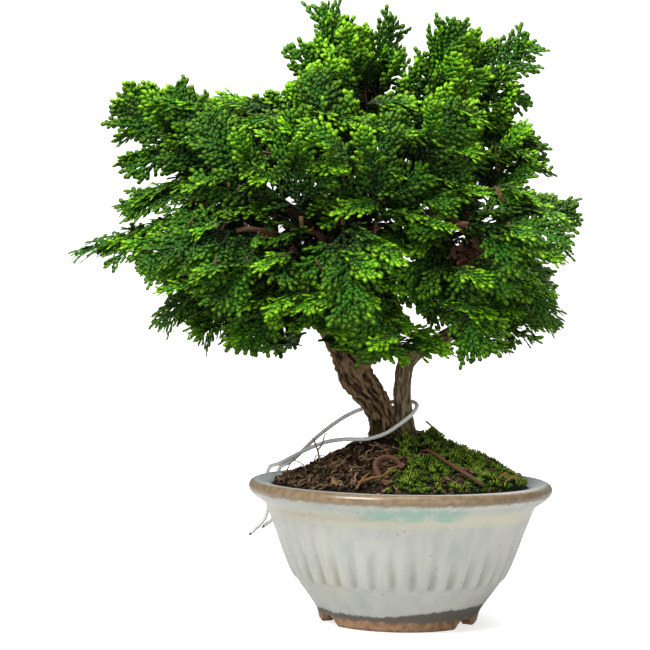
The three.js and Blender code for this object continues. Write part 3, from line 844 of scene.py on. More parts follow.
@dataclass(frozen=True)
class MossFinish:
    """Short cushion moss, near black below with its dark stems and painted shade, and yellow-green at its
    tips.
    """

    low: Colour = srgb(9, 13, 4)
    green: Colour = srgb(58, 96, 12)
    fresh: Colour = srgb(88, 130, 20)
    tip: Colour = srgb(186, 214, 72)
    roughness: float = 0.75
    specular: float = 0.2

    def material(self) -> Material:
        """Makes the material, led by the values tip and tone.

        Returns:
            The material.
        """
        # The near-black base is the moss's dark stems in part and painted shade inside the cushion in part.
        paint = Paint("cushion_moss", self.low)
        place = paint.place()
        rise = paint.value("tip")
        patches = paint.between(paint.noise(place, 0.006), 0.35, 0.65)
        paint.coat(paint.between(rise, 0.2, 0.8), paint.mix(patches, self.green, self.fresh))
        paint.coat(paint.times(paint.between(rise, 0.55, 1.0), paint.value("tone")), self.tip)
        inputs = {"Roughness": self.roughness, "Specular IOR Level": self.specular}
        return paint.done(paint.noise(place, 0.0008, 2.0), 0.0003, inputs)


@dataclass(frozen=True)
class PlainFinish:
    """A worn, even material: a plastic coat, a cut metal core or a moulded mesh."""

    name: str
    colour: Colour
    worn: Colour
    roughness: float
    metallic: float = 0.0

    def material(self) -> Material:
        """Makes the material, with scuffs of the worn colour.

        Returns:
            The material.
        """
        paint = Paint(self.name, self.colour)
        scuffs = paint.noise(paint.place(), 0.0022, 4.0, 0.6)
        paint.coat(paint.between(scuffs, 0.55, 0.78), self.worn)
        return paint.done(scuffs, 0.00015, {"Roughness": self.roughness, "Metallic": self.metallic})


# ---- pot


@dataclass
class Pot:
    """The round stoneware pot: a lathed wall with pressed flutes, a rolled lip and three feet."""

    site: Site
    columns: int = 396
    wall_rows: int = 86
    flutes: int = 36
    flute_depth: float = 1.35
    ledge: float = 16.4
    flute_top: float = 37.0
    feet: int = 3
    foot_inside: float = 24.4
    notch_radius: float = 8.0
    notch_drop: float = 4.8
    first_notch: float = -64.0
    wall_foot: float = 9.0
    base_foot: float = 3.4
    outside: tuple[Pair, ...] = (
        (29.9, 0.9), (30.4, 3), (31, 4.7), (34.6, 9.9), (37.9, 14.4), (38.9, 15.9), (40.2, 17),
        (42, 20.4), (44.9, 27.5), (47, 33.6), (49.9, 41), (51.2, 44), (53.4, 45.8), (56.2, 47.9),
        (57.4, 50), (57, 51.8), (55.6, 52.8), (54, 53), (51.6, 52.4), (49, 51), (47.6, 47),
    )
    inside: tuple[Pair, ...] = ((46.2, 43), (41, 29), (35.6, 15), (26, 9), (6.6, 9))
    under: tuple[Pair, ...] = ((6, 8.4), (6, 4), (6.6, 3.4), (15, 3.4), (24, 3.4), (25, 0.5))
    foot: tuple[Pair, ...] = ((25.4, 0), (27.4, 0), (29.2, 0))

    def _profile(self) -> tuple[Array, Array]:
        """The wall's closed outline.

        Returns:
            Its radii and heights, and 1 for each of its points on the outer wall.
        """
        curve = Spline([(r, 0.0, z) for r, z in self.outside])
        rows = curve.at(np.linspace(0, 1, self.wall_rows))[:, [0, 2]]
        rest = np.array([*self.inside, *self.under, *self.foot])
        return np.vstack([rows, rest]), np.concatenate([np.ones(len(rows)), np.zeros(len(rest))])

    def _notch(self, angles: Array, radius: Array) -> Array:
        """How high the notches between the feet reach.

        Args:
            angles: Angles from the front.
            radius: The radius at each.

        Returns:
            The height at each.
        """
        step = 2 * math.pi / self.feet
        off = (angles - math.radians(self.first_notch) + step / 2) % step - step / 2
        aside = np.abs(radius * np.sin(off))
        rise = np.sqrt(np.maximum(self.notch_radius**2 - aside**2, 0)) - self.notch_drop
        return np.maximum(rise, 0)

    def _flute_tree(self) -> bpy.types.NodeTree:
        """Makes the tree that presses the flutes in and keeps how deep each point lies.

        Returns:
            The tree.
        """
        inputs = {"Axis": "Vector", "Flutes": "Float", "Depth": "Float", "Ledge": "Float", "Top": "Float"}
        sheet, given = new_node_tree("press_flutes", inputs)
        where = sheet.node("GeometryNodeInputPosition").outputs[0]
        x, y, z = sheet.axes(sheet.vector("SUBTRACT", {0: where, 1: given["Axis"]})[0])
        angle = sheet.maths("ARCTAN2", y, x)
        wave = sheet.maths("COSINE", sheet.times(angle, given["Flutes"]))
        valley = sheet.maths("POWER", sheet.maths("MULTIPLY_ADD", wave, -0.5, 0.5), 2.6)
        sway = sheet.maths("SINE", sheet.maths("MULTIPLY_ADD", angle, 5.0, 0.8))
        top = sheet.maths("MULTIPLY_ADD", sway, 0.0016, given["Top"])
        whole = sheet.maths("SUBTRACT", top, given["Ledge"])
        left = sheet.maths("DIVIDE", sheet.maths("SUBTRACT", top, z), whole)
        fade = sheet.between(left, 0.0, 0.75)
        ledge = sheet.between(sheet.maths("SUBTRACT", z, given["Ledge"]), -0.0006, 0.0009)
        outer = sheet.node("GeometryNodeInputNamedAttribute", {"Name": "outer"}, data_type="FLOAT").outputs[0]
        share = sheet.times(sheet.times(valley, fade), sheet.times(ledge, outer))
        flat = sheet.node("ShaderNodeCombineXYZ", {0: x, 1: y}).outputs[0]
        reach = sheet.times(share, given["Depth"], -1.0)
        push = sheet.vector("SCALE", {0: sheet.vector("NORMALIZE", {0: flat})[0], "Scale": reach})[0]
        pushed = {"Geometry": given["Geometry"], "Offset": push}
        moved = sheet.node("GeometryNodeSetPosition", pushed).outputs[0]
        kept = {"Geometry": moved, "Name": "valley", "Value": share}
        store = sheet.node("GeometryNodeStoreNamedAttribute", kept, data_type="FLOAT", domain="POINT")
        sheet.node("NodeGroupOutput", {0: store.outputs[0]})
        return sheet.tree

    def build(self, finish: GlazeFinish) -> Piece:
        """Makes the pot.

        Args:
            finish: The glaze and the bare clay.

        Returns:
            The finished piece.
        """
        outline, outer = self._profile()
        angles = angles_round(self.columns)
        radius = np.repeat(outline[:, :1], self.columns, axis=1)
        height = np.repeat(outline[:, 1:], self.columns, axis=1)
        notch = self._notch(angles[None] + math.pi / 2, radius)
        is_wall = outer[:, None] > 0
        settle = np.where(is_wall, self.wall_foot, self.base_foot)
        in_foot = (height < settle) & (radius > self.foot_inside)
        height = np.where(in_foot, height + notch * (1 - height / settle), height)
        wobble = 0.12 * np.sin(3 * angles + 0.7) + 0.08 * np.sin(7 * angles)
        radius = radius + wobble * is_wall * smooth_step(height, 20, 52)
        points = np.stack([radius * np.cos(angles), radius * np.sin(angles), height], axis=-1)
        draft = MeshDraft()
        marks = np.repeat(np.append(outer, outer[0])[:, None], self.columns, axis=1)
        draft.grid(np.concatenate([points, points[:1]]), outer=marks)
        pot = draft.build("pot_glazed", self.site, finish.material(self.site))
        self._weld(pot)
        values = {
            "Axis": tuple(self.site.axis * MM),
            "Flutes": float(self.flutes),
            "Depth": self.flute_depth * MM,
            "Ledge": self.ledge * MM,
            "Top": self.flute_top * MM,
        }
        return report(run_nodes(pot, self._flute_tree(), values), "glaze", "pot")

    @staticmethod
    def _weld(piece: Piece) -> None:
        """Joins points that lie on each other, and turns every face outwards.

        Args:
            piece: The piece whose mesh changes.
        """
        work = bmesh.new()
        work.from_mesh(piece.data)
        bmesh.ops.remove_doubles(work, verts=work.verts, dist=1e-6)
        bmesh.ops.recalc_face_normals(work, faces=work.faces)
        work.to_mesh(piece.data)
        work.free()


# ---- soil, moss and litter


@dataclass
class Mound:
    """The heaped soil, and the heights that everything on it shares."""

    site: Site
    radius: float = 48.2
    edge: float = 51.4
    top: float = 70.2
    rise: float = 22.5
    lean: float = 0.1
    floor: float = 9.3
    columns: int = 150
    rings: int = 48

    def base_height(self, x: float, y: float) -> float:
        """The mound's height at a place, without its crumbs."""
        r, angle = math.hypot(x, y), math.atan2(y, x)
        inward = max(0.0, 1 - r / self.radius)
        cone = self.edge + inward * (self.rise + self.lean * x)
        lumps = 0.5 * math.sin(3 * angle + r / 5) + 0.4 * math.sin(5 * angle - r / 3)
        return min(self.top, cone + lumps * min(1, r / 8, (self.radius - r) / 12))

    def height(self, x: float, y: float) -> float:
        """The mound's height at a place, with its crumbs."""
        return self.base_height(x, y) + 0.9 * ripple(x, y, 3.0, 6.0) + 0.35 * ripple(x, y, 9.0, 1.6)

    def normal(self, x: float, y: float) -> Array:
        """Which way the mound faces at a place."""
        step = 0.8
        slope_x = (self.base_height(x + step, y) - self.base_height(x - step, y)) / (2 * step)
        slope_y = (self.base_height(x, y + step) - self.base_height(x, y - step)) / (2 * step)
        return unit(np.array([-slope_x, -slope_y, 1.0]))

    def build(self, finish: EarthFinish) -> Piece:
        """Makes the soil that fills the pot.

        Args:
            finish: What the soil looks like.

        Returns:
            The finished piece.
        """
        rows = []
        for r in np.linspace(0.4, self.radius, self.rings):
            places = [polar(r, a) for a in angles_round(self.columns)]
            rows.append([(x, y, self.height(x, y)) for x, y in places])
        for r, z in ((48.0, 50.0), (45.8, 43.0), (35.2, 15.0), (25.6, self.floor), (0.4, self.floor)):
            rows.append([(*polar(r, a), z) for a in angles_round(self.columns)])
        draft = MeshDraft()
        draft.grid(np.array(rows)[::-1], caps=True)
        return report(draft.build("soil_mound", self.site, finish.material()), "soil", "soil")


@dataclass
class Moss:
    """The cushion moss from the front round the right side of the mound to its back."""

    mound: Mound
    scatter: Scatter
    first: float = -98.0
    last: float = 128.0
    inner: float = 10.5
    outer: float = 47.2
    tufts: int = 3000
    leaves: int = 4
    thickness: float = 0.9
    mat_depth: float = 2.2
    columns: int = 120
    rings: int = 38

    def cover(self, x: float, y: float) -> float:
        """How thickly moss grows at a place, from 0 for none to 1.

        Args:
            x: How far the place lies to the right of the axis.
            y: How far it lies behind the axis.

        Returns:
            The share of full cover.
        """
        r, angle = math.hypot(x, y), math.degrees(math.atan2(y, x))
        ragged = 16 * ripple(x, y, 0.0, 7.0)
        sweep = smooth_step(angle, self.first - 4 + ragged, self.first + 6 + ragged)
        sweep *= smooth_step(-angle, -self.last + ragged - 4, -self.last + ragged + 6)
        ring = smooth_step(r, self.inner - 2 + ragged / 5, self.inner + 2 + ragged / 5)
        ring *= smooth_step(-r, -self.outer - 1 + ragged / 5, -self.outer + 2 + ragged / 5)
        bare = smooth_step(ripple(x, y, 21.0, 8.0), -0.55, -0.25)
        collar = 0.5 * smooth_step(-r, -22 + ragged / 3, -13 + ragged / 3)
        return float(max(sweep * ring, collar) * bare)

    def _tuft(self) -> Piece:
        """One tuft: narrow pointed leaves that spread from a short stem."""
        draft = MeshDraft()
        for k in range(self.leaves):
            turn = k * GOLDEN_TURN
            lean = 0.35 + 0.5 * (k / self.leaves)
            out = np.array([math.cos(turn) * lean, 1.0, math.sin(turn) * lean])
            side = across(out, np.array([-math.sin(turn), 0, math.cos(turn)]))
            deep = np.cross(unit(out), side)
            base = out * 0.12
            middle = base + unit(out) * 0.5
            tip = base + unit(out) * (1.15 - 0.25 * k / self.leaves)
            points = [base, middle + side * 0.17, middle - side * 0.17, middle + deep * 0.1, tip]
            faces = [(0, 1, 3), (0, 3, 2), (0, 2, 1), (1, 4, 3), (3, 4, 2), (2, 4, 1)]
            draft.add(np.array(points), np.array(faces), tip=np.array([0.0, 0.55, 0.55, 0.55, 1.0]))
        return draft.build("moss_tuft_unit", Site(np.zeros(3)))

    def _mat(self, angles: Array) -> Array:
        """The mat's top, in rings from the trunks outwards.

        Args:
            angles: The angles of its columns.

        Returns:
            Rows and columns of points.
        """
        rows = []
        for r in np.linspace(self.inner - 3, self.outer + 0.6, self.rings):
            row = []
            for x, y in (polar(r, a) for a in angles):
                grown = self.cover(x, y)
                cushion = self.thickness * grown * (0.8 + 0.9 * ripple(x, y, 5.0, 3.5)) - 0.8 * (1 - grown)
                row.append((x, y, self.mound.height(x, y) + cushion))
            rows.append(row)
        return np.array(rows)

    def _spots(self, low: float, high: float) -> MeshDraft:
        """Random places for the tufts, which crowd on the cushions.

        Args:
            low: The first angle.
            high: The last angle.

        Returns:
            The places, with the values that a scatter needs.
        """
        random = np.random.default_rng(SEED + 11)
        spots = MeshDraft()
        while spots.count < self.tufts:
            r = self.outer * math.sqrt(random.uniform(0.04, 1.0))
            x, y = polar(r, random.uniform(low, high))
            grown = self.cover(x, y)
            if random.uniform() > grown:
                continue
            clump = 0.5 + 0.5 * ripple(x, y, 5.0, 3.5)
            aim = unit(self.mound.normal(x, y) + UP * 0.6 + random.normal(0, 0.28, 3))
            ground = self.mound.height(x, y) + self.thickness * grown * (0.3 + 1.4 * clump) - 0.5
            size = random.uniform(1.1, 2.0) * (0.6 + 0.8 * clump)
            facing = across(aim, random.normal(0, 1, 3))[None]
            tone = np.clip(clump + random.normal(0, 0.25), 0, 1)
            spots.add(np.array([[x, y, ground]]), aim=aim[None], facing=facing, size=size, tone=tone)
        return spots

    def build(self, finish: MossFinish) -> Iterator[Piece]:
        """Makes the mat and its tufts.

        Args:
            finish: What the moss looks like.

        Yields:
            Each finished piece.
        """
        material = finish.material()
        low, high = math.radians(self.first - 8), math.radians(self.last + 8)
        top = self._mat(np.linspace(low, high, self.columns))
        draft = MeshDraft()
        self._add_slab(draft, top, top - self.mat_depth * UP)
        yield report(draft.build("moss_mat", self.mound.site, material), "moss", "moss")

        tufts = self._spots(low, high).build("moss_tufts", self.mound.site)
        tuft = self._tuft()
        self.scatter.dress(tufts, tuft, material, spread=0.2)
        bpy.data.objects.remove(tuft)
        yield report(tufts, "moss")

    @staticmethod
    def _add_slab(draft: MeshDraft, top: Array, bottom: Array) -> None:
        """Adds a closed slab between two open grids of the same shape.

        Args:
            draft: The mesh that takes it.
            top: The upper grid.
            bottom: The lower grid.
        """
        loop = np.concatenate([top, bottom[:, ::-1]], axis=1)
        rows, columns = loop.shape[:2]
        draft.grid(loop[:, ::-1], tip=np.full((rows, columns), 0.25), tone=np.zeros((rows, columns)))
        first = np.arange(columns // 2 - 1)
        faces = np.stack([first, first + 1, columns - 2 - first, columns - 1 - first], axis=-1)
        draft.add(loop[0, ::-1], faces, tip=0.25, tone=0.0)
        draft.add(loop[-1, ::-1], faces[:, ::-1], tip=0.25, tone=0.0)


@dataclass
class Litter:
    """Dead twigs, bark scraps and crumbs on the open soil."""

    mound: Mound
    moss: Moss
    scatter: Scatter
    twigs: int = 440
    twig_sizes: Pair = (3.5, 9.0)
    crumbs: int = 900
    crumb_sizes: Pair = (0.7, 2.0)
    reach: float = 47.4
    farthest: float = 49.5

    def _twig(self) -> Piece:
        """One crooked dead twig with a short fork."""
        draft = MeshDraft()
        knots = [(0, -0.5, 0), (0.05, -0.2, 0.05), (-0.04, 0.1, 0.09), (0.08, 0.35, 0.03), (0.02, 0.5, 0.08)]
        add_tube(draft, Spline(knots).at(np.linspace(0, 1, 7)), np.linspace(0.052, 0.028, 7), 4)
        fork = Spline([(-0.03, 0.08, 0.08), (0.08, 0.2, 0.14), (0.12, 0.33, 0.13)])
        add_tube(draft, fork.at(np.linspace(0, 1, 4)), np.linspace(0.034, 0.02, 4), 4)
        return draft.build("dead_twig_unit", Site(np.zeros(3)))

    def _crumb(self) -> Piece:
        """One angular crumb of soil."""
        corners = np.array([[x, y, z] for x in (-1, 1) for y in (-1, 1) for z in (-1, 1)]) * 0.36
        corners += np.random.default_rng(SEED).normal(0, 0.09, corners.shape)
        faces = [(0, 1, 3, 2), (4, 6, 7, 5), (0, 4, 5, 1), (2, 3, 7, 6), (0, 2, 6, 4), (1, 5, 7, 3)]
        draft = MeshDraft()
        draft.add(corners, np.array(faces))
        return draft.build("crumb_unit", Site(np.zeros(3)))

    def _spots(self, count: int, sizes: Pair, lift: float, seed: int) -> MeshDraft:
        """Random places for a number of loose bits on the ground that has no moss.

        Args:
            count: How many places to find.
            sizes: The smallest and the largest bit.
            lift: How far the bits may tilt out of the ground, from 0 to 1.
            seed: The seed of the places.

        Returns:
            The places, with the values that a scatter needs.
        """
        random = np.random.default_rng(seed)
        spots = MeshDraft()
        while spots.count < count:
            r = self.reach * math.sqrt(random.uniform(0.01, 1.0))
            x, y = polar(r, random.uniform(-math.pi, math.pi))
            if random.uniform() < 0.97 * self.moss.cover(x, y):
                continue
            normal = self.mound.normal(x, y)
            heading = across(normal, random.normal(0, 1, 3))
            aim = unit(heading + normal * random.normal(0.05, lift))
            size = random.uniform(*sizes)
            if r + size / 2 > self.farthest:
                continue
            place = np.array([[x, y, self.mound.height(x, y) + 0.25 + 0.4 * random.uniform()]])
            tone = random.uniform() ** 3
            facing = across(aim, normal + random.normal(0, 0.5, 3))[None]
            spots.add(place, aim=aim[None], facing=facing, size=size, tone=tone)
        return spots

    def build(self, twig_finish: EarthFinish, crumb_finish: EarthFinish) -> Iterator[Piece]:
        """Makes the litter.

        Args:
            twig_finish: What the dead twigs look like.
            crumb_finish: What the crumbs look like.

        Yields:
            Each finished piece.
        """
        twigs = self._spots(self.twigs, self.twig_sizes, 0.16, SEED + 21)
        crumbs = self._spots(self.crumbs, self.crumb_sizes, 0.6, SEED + 22)
        for name, spots, bit, finish, spread in (
            ("dead_twigs", twigs, self._twig(), twig_finish, 0.1),
            ("soil_crumbs", crumbs, self._crumb(), crumb_finish, 0.3),
        ):
            piece = spots.build(name, self.mound.site)
            yield report(self.scatter.dress(piece, bit, finish.material(), spread=spread), "soil")
            bpy.data.objects.remove(bit)


# ---- trunks, limbs and roots


class Stem(Enum):
    """The two trunks: points of each centreline, with the radius there."""

    LEADER = (
        (-3, 0.6, 44, 3.2), (-3.6, 0.4, 56, 5.6), (-4.6, 0.2, 64.5, 8.2), (-6.3, 0, 71, 5.6),
        (-7.4, 0, 77, 4.7), (-11.2, -0.4, 84, 5.3), (-17.6, -0.8, 92.2, 5.9), (-22.2, 0, 102, 4.9),
        (-27.4, 0.6, 110.6, 4.3), (-32.6, 0.6, 121, 3.8), (-31, 0, 137.6, 3.3), (-24.4, 0, 151, 2.9),
        (-22.8, 0, 164, 2.4), (-26.4, 0, 181, 1.9), (-29.2, 0, 195, 1.4),
    )
    SECOND = (
        (-1, 0.2, 50, 2.4), (1.6, -0.6, 62, 5.4), (1.4, -0.8, 70, 4.3), (0.6, -1, 79, 3.7),
        (0.2, -1, 89, 3.35), (1.6, -0.6, 97.4, 3.3), (6.6, 0, 102.6, 3.2), (14.6, 0.6, 106.4, 2.9),
        (23.6, 0.4, 113.6, 2.5), (29, 0, 126, 2.1), (30.6, 0, 141, 1.6),
    )

    def curve(self) -> Spline:
        """The trunk's centreline, whose fourth coordinate is its radius."""
        return Spline(self.value)


@dataclass(frozen=True)
class Limb:
    """A limb: its trunk, the height where it leaves, the point it passes, its end and its aim."""

    name: str
    stem: Stem
    height: float
    via: Point
    end: Point
    aim: Point
    straight: float = 4.0

    def curve(self, stem: Spline) -> Spline:
        """The limb's centreline, from inside its trunk to its straight end."""
        start = stem.at(stem.share_at_height(self.height))[:3]
        tip = np.array(self.end) + unit(np.array(self.aim)) * self.straight
        return Spline([start, self.via, self.end, tip])


LIMBS = (
    Limb("crown", Stem.LEADER, 182, (-26, -1, 187), (-27, -1, 192), (0.05, -0.1, 1)),
    Limb("plume_left", Stem.LEADER, 147, (-54, 1, 161), (-78, 3, 173), (-0.8, 0, 0.65)),
    Limb("plume_right", Stem.LEADER, 160, (-2, 3, 177), (19, 4, 196), (0.8, 0, 0.65)),
    Limb("high_left", Stem.LEADER, 152, (-36, 3, 157), (-46, 4, 163), (-0.3, 0, 1)),
    Limb("left", Stem.LEADER, 131, (-58, -2, 143), (-86, -3, 144), (-1, 0, 0)),
    Limb("left_upper", Stem.LEADER, 139, (-50, -6, 153), (-66, -8, 160), (-1, -0.1, 0.1)),
    Limb("left_lower", Stem.LEADER, 124, (-46, -6, 133), (-61, -9, 137), (-0.8, -0.2, -0.5)),
    Limb("low_left", Stem.LEADER, 129, (-44, 6, 134), (-54, 11, 132), (-0.7, 0.2, -0.5)),
    Limb("right_upper", Stem.SECOND, 139, (28, -1, 148), (21, -2, 158), (0.75, 0, 0.65)),
    Limb("right_middle", Stem.SECOND, 124, (28, 4, 131), (25, 9, 138), (1, 0.2, -0.15)),
    Limb("right_lower", Stem.SECOND, 112, (23, 8, 118), (27, 11, 124), (0.9, 0.1, -0.2)),
    Limb("front_top", Stem.LEADER, 156, (-26, -16, 159), (-29, -31, 163), (0, -0.2, 1)),
    Limb("front_high_left", Stem.LEADER, 145, (-38, -14, 151), (-50, -24, 157), (-0.6, -0.2, 0.7)),
    Limb("front_high_right", Stem.LEADER, 150, (-12, -14, 157), (-4, -27, 161), (0.5, -0.2, 0.8)),
    Limb("front_centre_left", Stem.LEADER, 139, (-32, -22, 145), (-38, -36, 147), (-0.15, -0.25, 1)),
    Limb("front_centre_right", Stem.LEADER, 147, (-18, -19, 148), (-12, -35, 146), (0.1, -0.25, 1)),
    Limb("front_left", Stem.LEADER, 134, (-44, -22, 143), (-58, -38, 146), (-0.9, -0.3, -0.2)),
    Limb("front_right", Stem.SECOND, 134, (24, -19, 144), (18, -35, 149), (0.9, -0.3, 0)),
    Limb("front_middle", Stem.LEADER, 143, (-26, -24, 150), (-24, -40, 151), (0.1, -0.5, -0.7)),
    Limb("front_low_left", Stem.LEADER, 127, (-38, -16, 136), (-42, -30, 139), (-0.4, -0.4, -0.7)),
    Limb("front_low", Stem.LEADER, 133, (-20, -12, 139), (-11, -21, 140), (0, -0.3, -0.9)),
    Limb("front_low_right", Stem.SECOND, 126, (23, -14, 139), (17, -24, 140), (0.2, -0.4, -0.8)),
    Limb("front_inner_right", Stem.SECOND, 137, (22, -12, 148), (9, -16, 155), (-0.1, -0.4, -0.8)),
    Limb("back_top", Stem.LEADER, 164, (-26, 16, 168), (-28, 28, 172), (0, 0.3, 1)),
    Limb("back_high_left", Stem.LEADER, 142, (-42, 19, 152), (-54, 30, 158), (-0.7, 0.3, 0.5)),
    Limb("back_high_right", Stem.LEADER, 154, (-8, 19, 162), (4, 30, 166), (0.7, 0.3, 0.5)),
    Limb("back_left", Stem.LEADER, 128, (-46, 24, 140), (-56, 40, 142), (-0.9, 0.4, -0.2)),
    Limb("back_right", Stem.SECOND, 125, (24, 19, 138), (20, 35, 142), (0.9, 0.4, -0.1)),
    Limb("back_middle", Stem.LEADER, 136, (-26, 24, 146), (-24, 40, 148), (0.2, 0.5, -0.6)),
    Limb("back_low", Stem.LEADER, 122, (-34, 19, 134), (-34, 32, 137), (-0.4, 0.5, -0.7)),
)


@dataclass
class Wood:
    """Both trunks with flaking bark, and every limb and twig."""

    site: Site
    stems: dict[Stem, Spline] = field(default_factory=lambda: {stem: stem.curve() for stem in Stem})
    twig_draft: MeshDraft = field(default_factory=MeshDraft)
    limb_radius: float = 1.75
    limb_taper: float = 0.9
    stub: tuple[Point, ...] = (
        (-17.5, -3.6, 93.5), (-13.6, -4.6, 97.2), (-10.4, -4.6, 98.6), (-8.6, -4.4, 98.2),
    )
    stub_radii: tuple[float, ...] = (2.6, 2.7, 2.6, 2.4, 2.2, 1.9, 1.5, 1.2, 0.8, 0.5)
    strips: tuple[tuple[Point, ...], ...] = (
        ((-27, -4, 114), (-25, -4.9, 108), (-22.8, -5.3, 102)),
        ((-19.8, -6.3, 97), (-16.2, -6.4, 91.4), (-13.2, -5.6, 86)),
        ((-13.8, -5.5, 95), (-10.8, -5.6, 90.2), (-9, -5, 86.4)),
    )

    def limb_curves(self) -> dict[str, Spline]:
        """Each limb's centreline by its name."""
        return {limb.name: limb.curve(self.stems[limb.stem]) for limb in LIMBS}

    def _bark(self, stem: Stem, angle: float, travel: float) -> float:
        """How far the bark stands out.

        Args:
            stem: The trunk.
            angle: The angle round it.
            travel: The distance along it.

        Returns:
            About 0 in a crack, and 1 on a ridge.
        """
        x, y = polar(2.6, angle + travel / 45)
        strips = abs(ripple(x * 3, y * 3, travel / 3.6, 2.4, 3))
        flakes = ripple(x * 4, y * 4, travel, 2.6, 3)
        if stem is Stem.LEADER:
            return 1 - min(1.0, 2.6 * strips) + 0.35 * flakes
        return 0.55 - 0.5 * min(1.0, 2.0 * strips) + 0.2 * flakes

    def _trunk(self, stem: Stem, sides: int, rows: int, relief: float) -> MeshDraft:
        """Makes one trunk with its bark.

        Args:
            stem: The trunk.
            sides: How many columns it has.
            rows: How many rows it has.
            relief: How far its bark stands out.

        Returns:
            The trunk's mesh.
        """
        curve = self.stems[stem]
        shares = np.linspace(0, 1, rows)
        track = curve.at(shares)
        first, second = frames_along(track[:, :3])
        points = np.zeros((rows, sides, 3))
        marks = np.zeros((rows, sides))
        for i, (_, _, z, radius) in enumerate(track):
            flare = float(smooth_step(-z, -76, -64))
            worn = min(1.0, radius / 4)
            for k, angle in enumerate(angles_round(sides)):
                bark = self._bark(stem, angle, shares[i] * curve.length)
                buttress = 0.9 * flare * math.cos(4 * angle + 0.6)
                swell = 0.05 * radius * ripple(math.cos(angle), math.sin(angle), z / 9, 1.0, 2)
                reach = radius + relief * worn * (bark - 0.5) + buttress + swell
                way = math.cos(angle) * first[i] + math.sin(angle) * second[i]
                points[i, k] = track[i, :3] + reach * way
                marks[i, k] = bark
        draft = MeshDraft()
        draft.grid(points, caps=True, relief=marks)
        return draft

    def _scars(self) -> MeshDraft:
        """Makes the leader's broken stub and the loose strips of bark round it.

        Returns:
            Their mesh, with roughened bark.
        """
        draft = MeshDraft()
        shares = np.linspace(0, 1, len(self.stub_radii))
        add_tube(draft, Spline(self.stub).at(shares), np.array(self.stub_radii), 9)
        strip_radii = 0.75 * np.sin(np.linspace(0.35, math.pi - 0.25, len(shares))) + 0.1
        for strip in self.strips:
            add_tube(draft, Spline(strip).at(shares), strip_radii, 6)
        smooth = np.vstack(draft.points)
        draft.points = [np.array([point + 0.35 * ripple(*point, 1.6) for point in smooth])]
        draft.values["relief"] = [np.array([0.7 + 0.4 * ripple(*point, 1.1) for point in smooth])]
        return draft

    def add_twig(self, start: Array, end: Array, radius: float) -> None:
        """Adds a thin twig that bows a little, from the wood to where its leaves begin.

        Args:
            start: Where it leaves the wood.
            end: Where its leaves begin.
            radius: Its radius at its start.
        """
        middle = (start + end) / 2 + np.array([0, 0, -0.06 * float(np.linalg.norm(end - start))])
        line = Spline([start, middle, end]).at(np.linspace(0, 1, 5))
        add_tube(self.twig_draft, line, np.linspace(radius, radius * 0.7, 5), 5, relief=0.7)

    def build(self, leader: BarkFinish, second: BarkFinish, limb: BarkFinish) -> Iterator[Piece]:
        """Makes the trunks, the limbs and the twigs that have been added.

        Args:
            leader: The leader's bark.
            second: The second trunk's bark.
            limb: The bark of limbs and twigs.

        Yields:
            Each finished piece.
        """
        for curve in self.limb_curves().values():
            shares = np.linspace(0, 1, 26)
            line = curve.at(shares)
            knots = np.array([0.12 * ripple(*point, 5.0, 2) for point in line])
            radii = self.limb_radius - self.limb_taper * shares + knots
            add_tube(self.twig_draft, line, radii, 8, relief=0.55)
        for name, draft, bark, nodes in (
            ("leader_trunk", self._trunk(Stem.LEADER, 68, 250, 1.5), leader, ("tree",)),
            ("second_trunk", self._trunk(Stem.SECOND, 48, 180, 0.9), second, ()),
            ("trunk_scars", self._scars(), leader, ()),
            ("limbs_and_twigs", self.twig_draft, limb, ()),
        ):
            yield report(draft.build(name, self.site, bark.material(self.site)), "bark", *nodes)


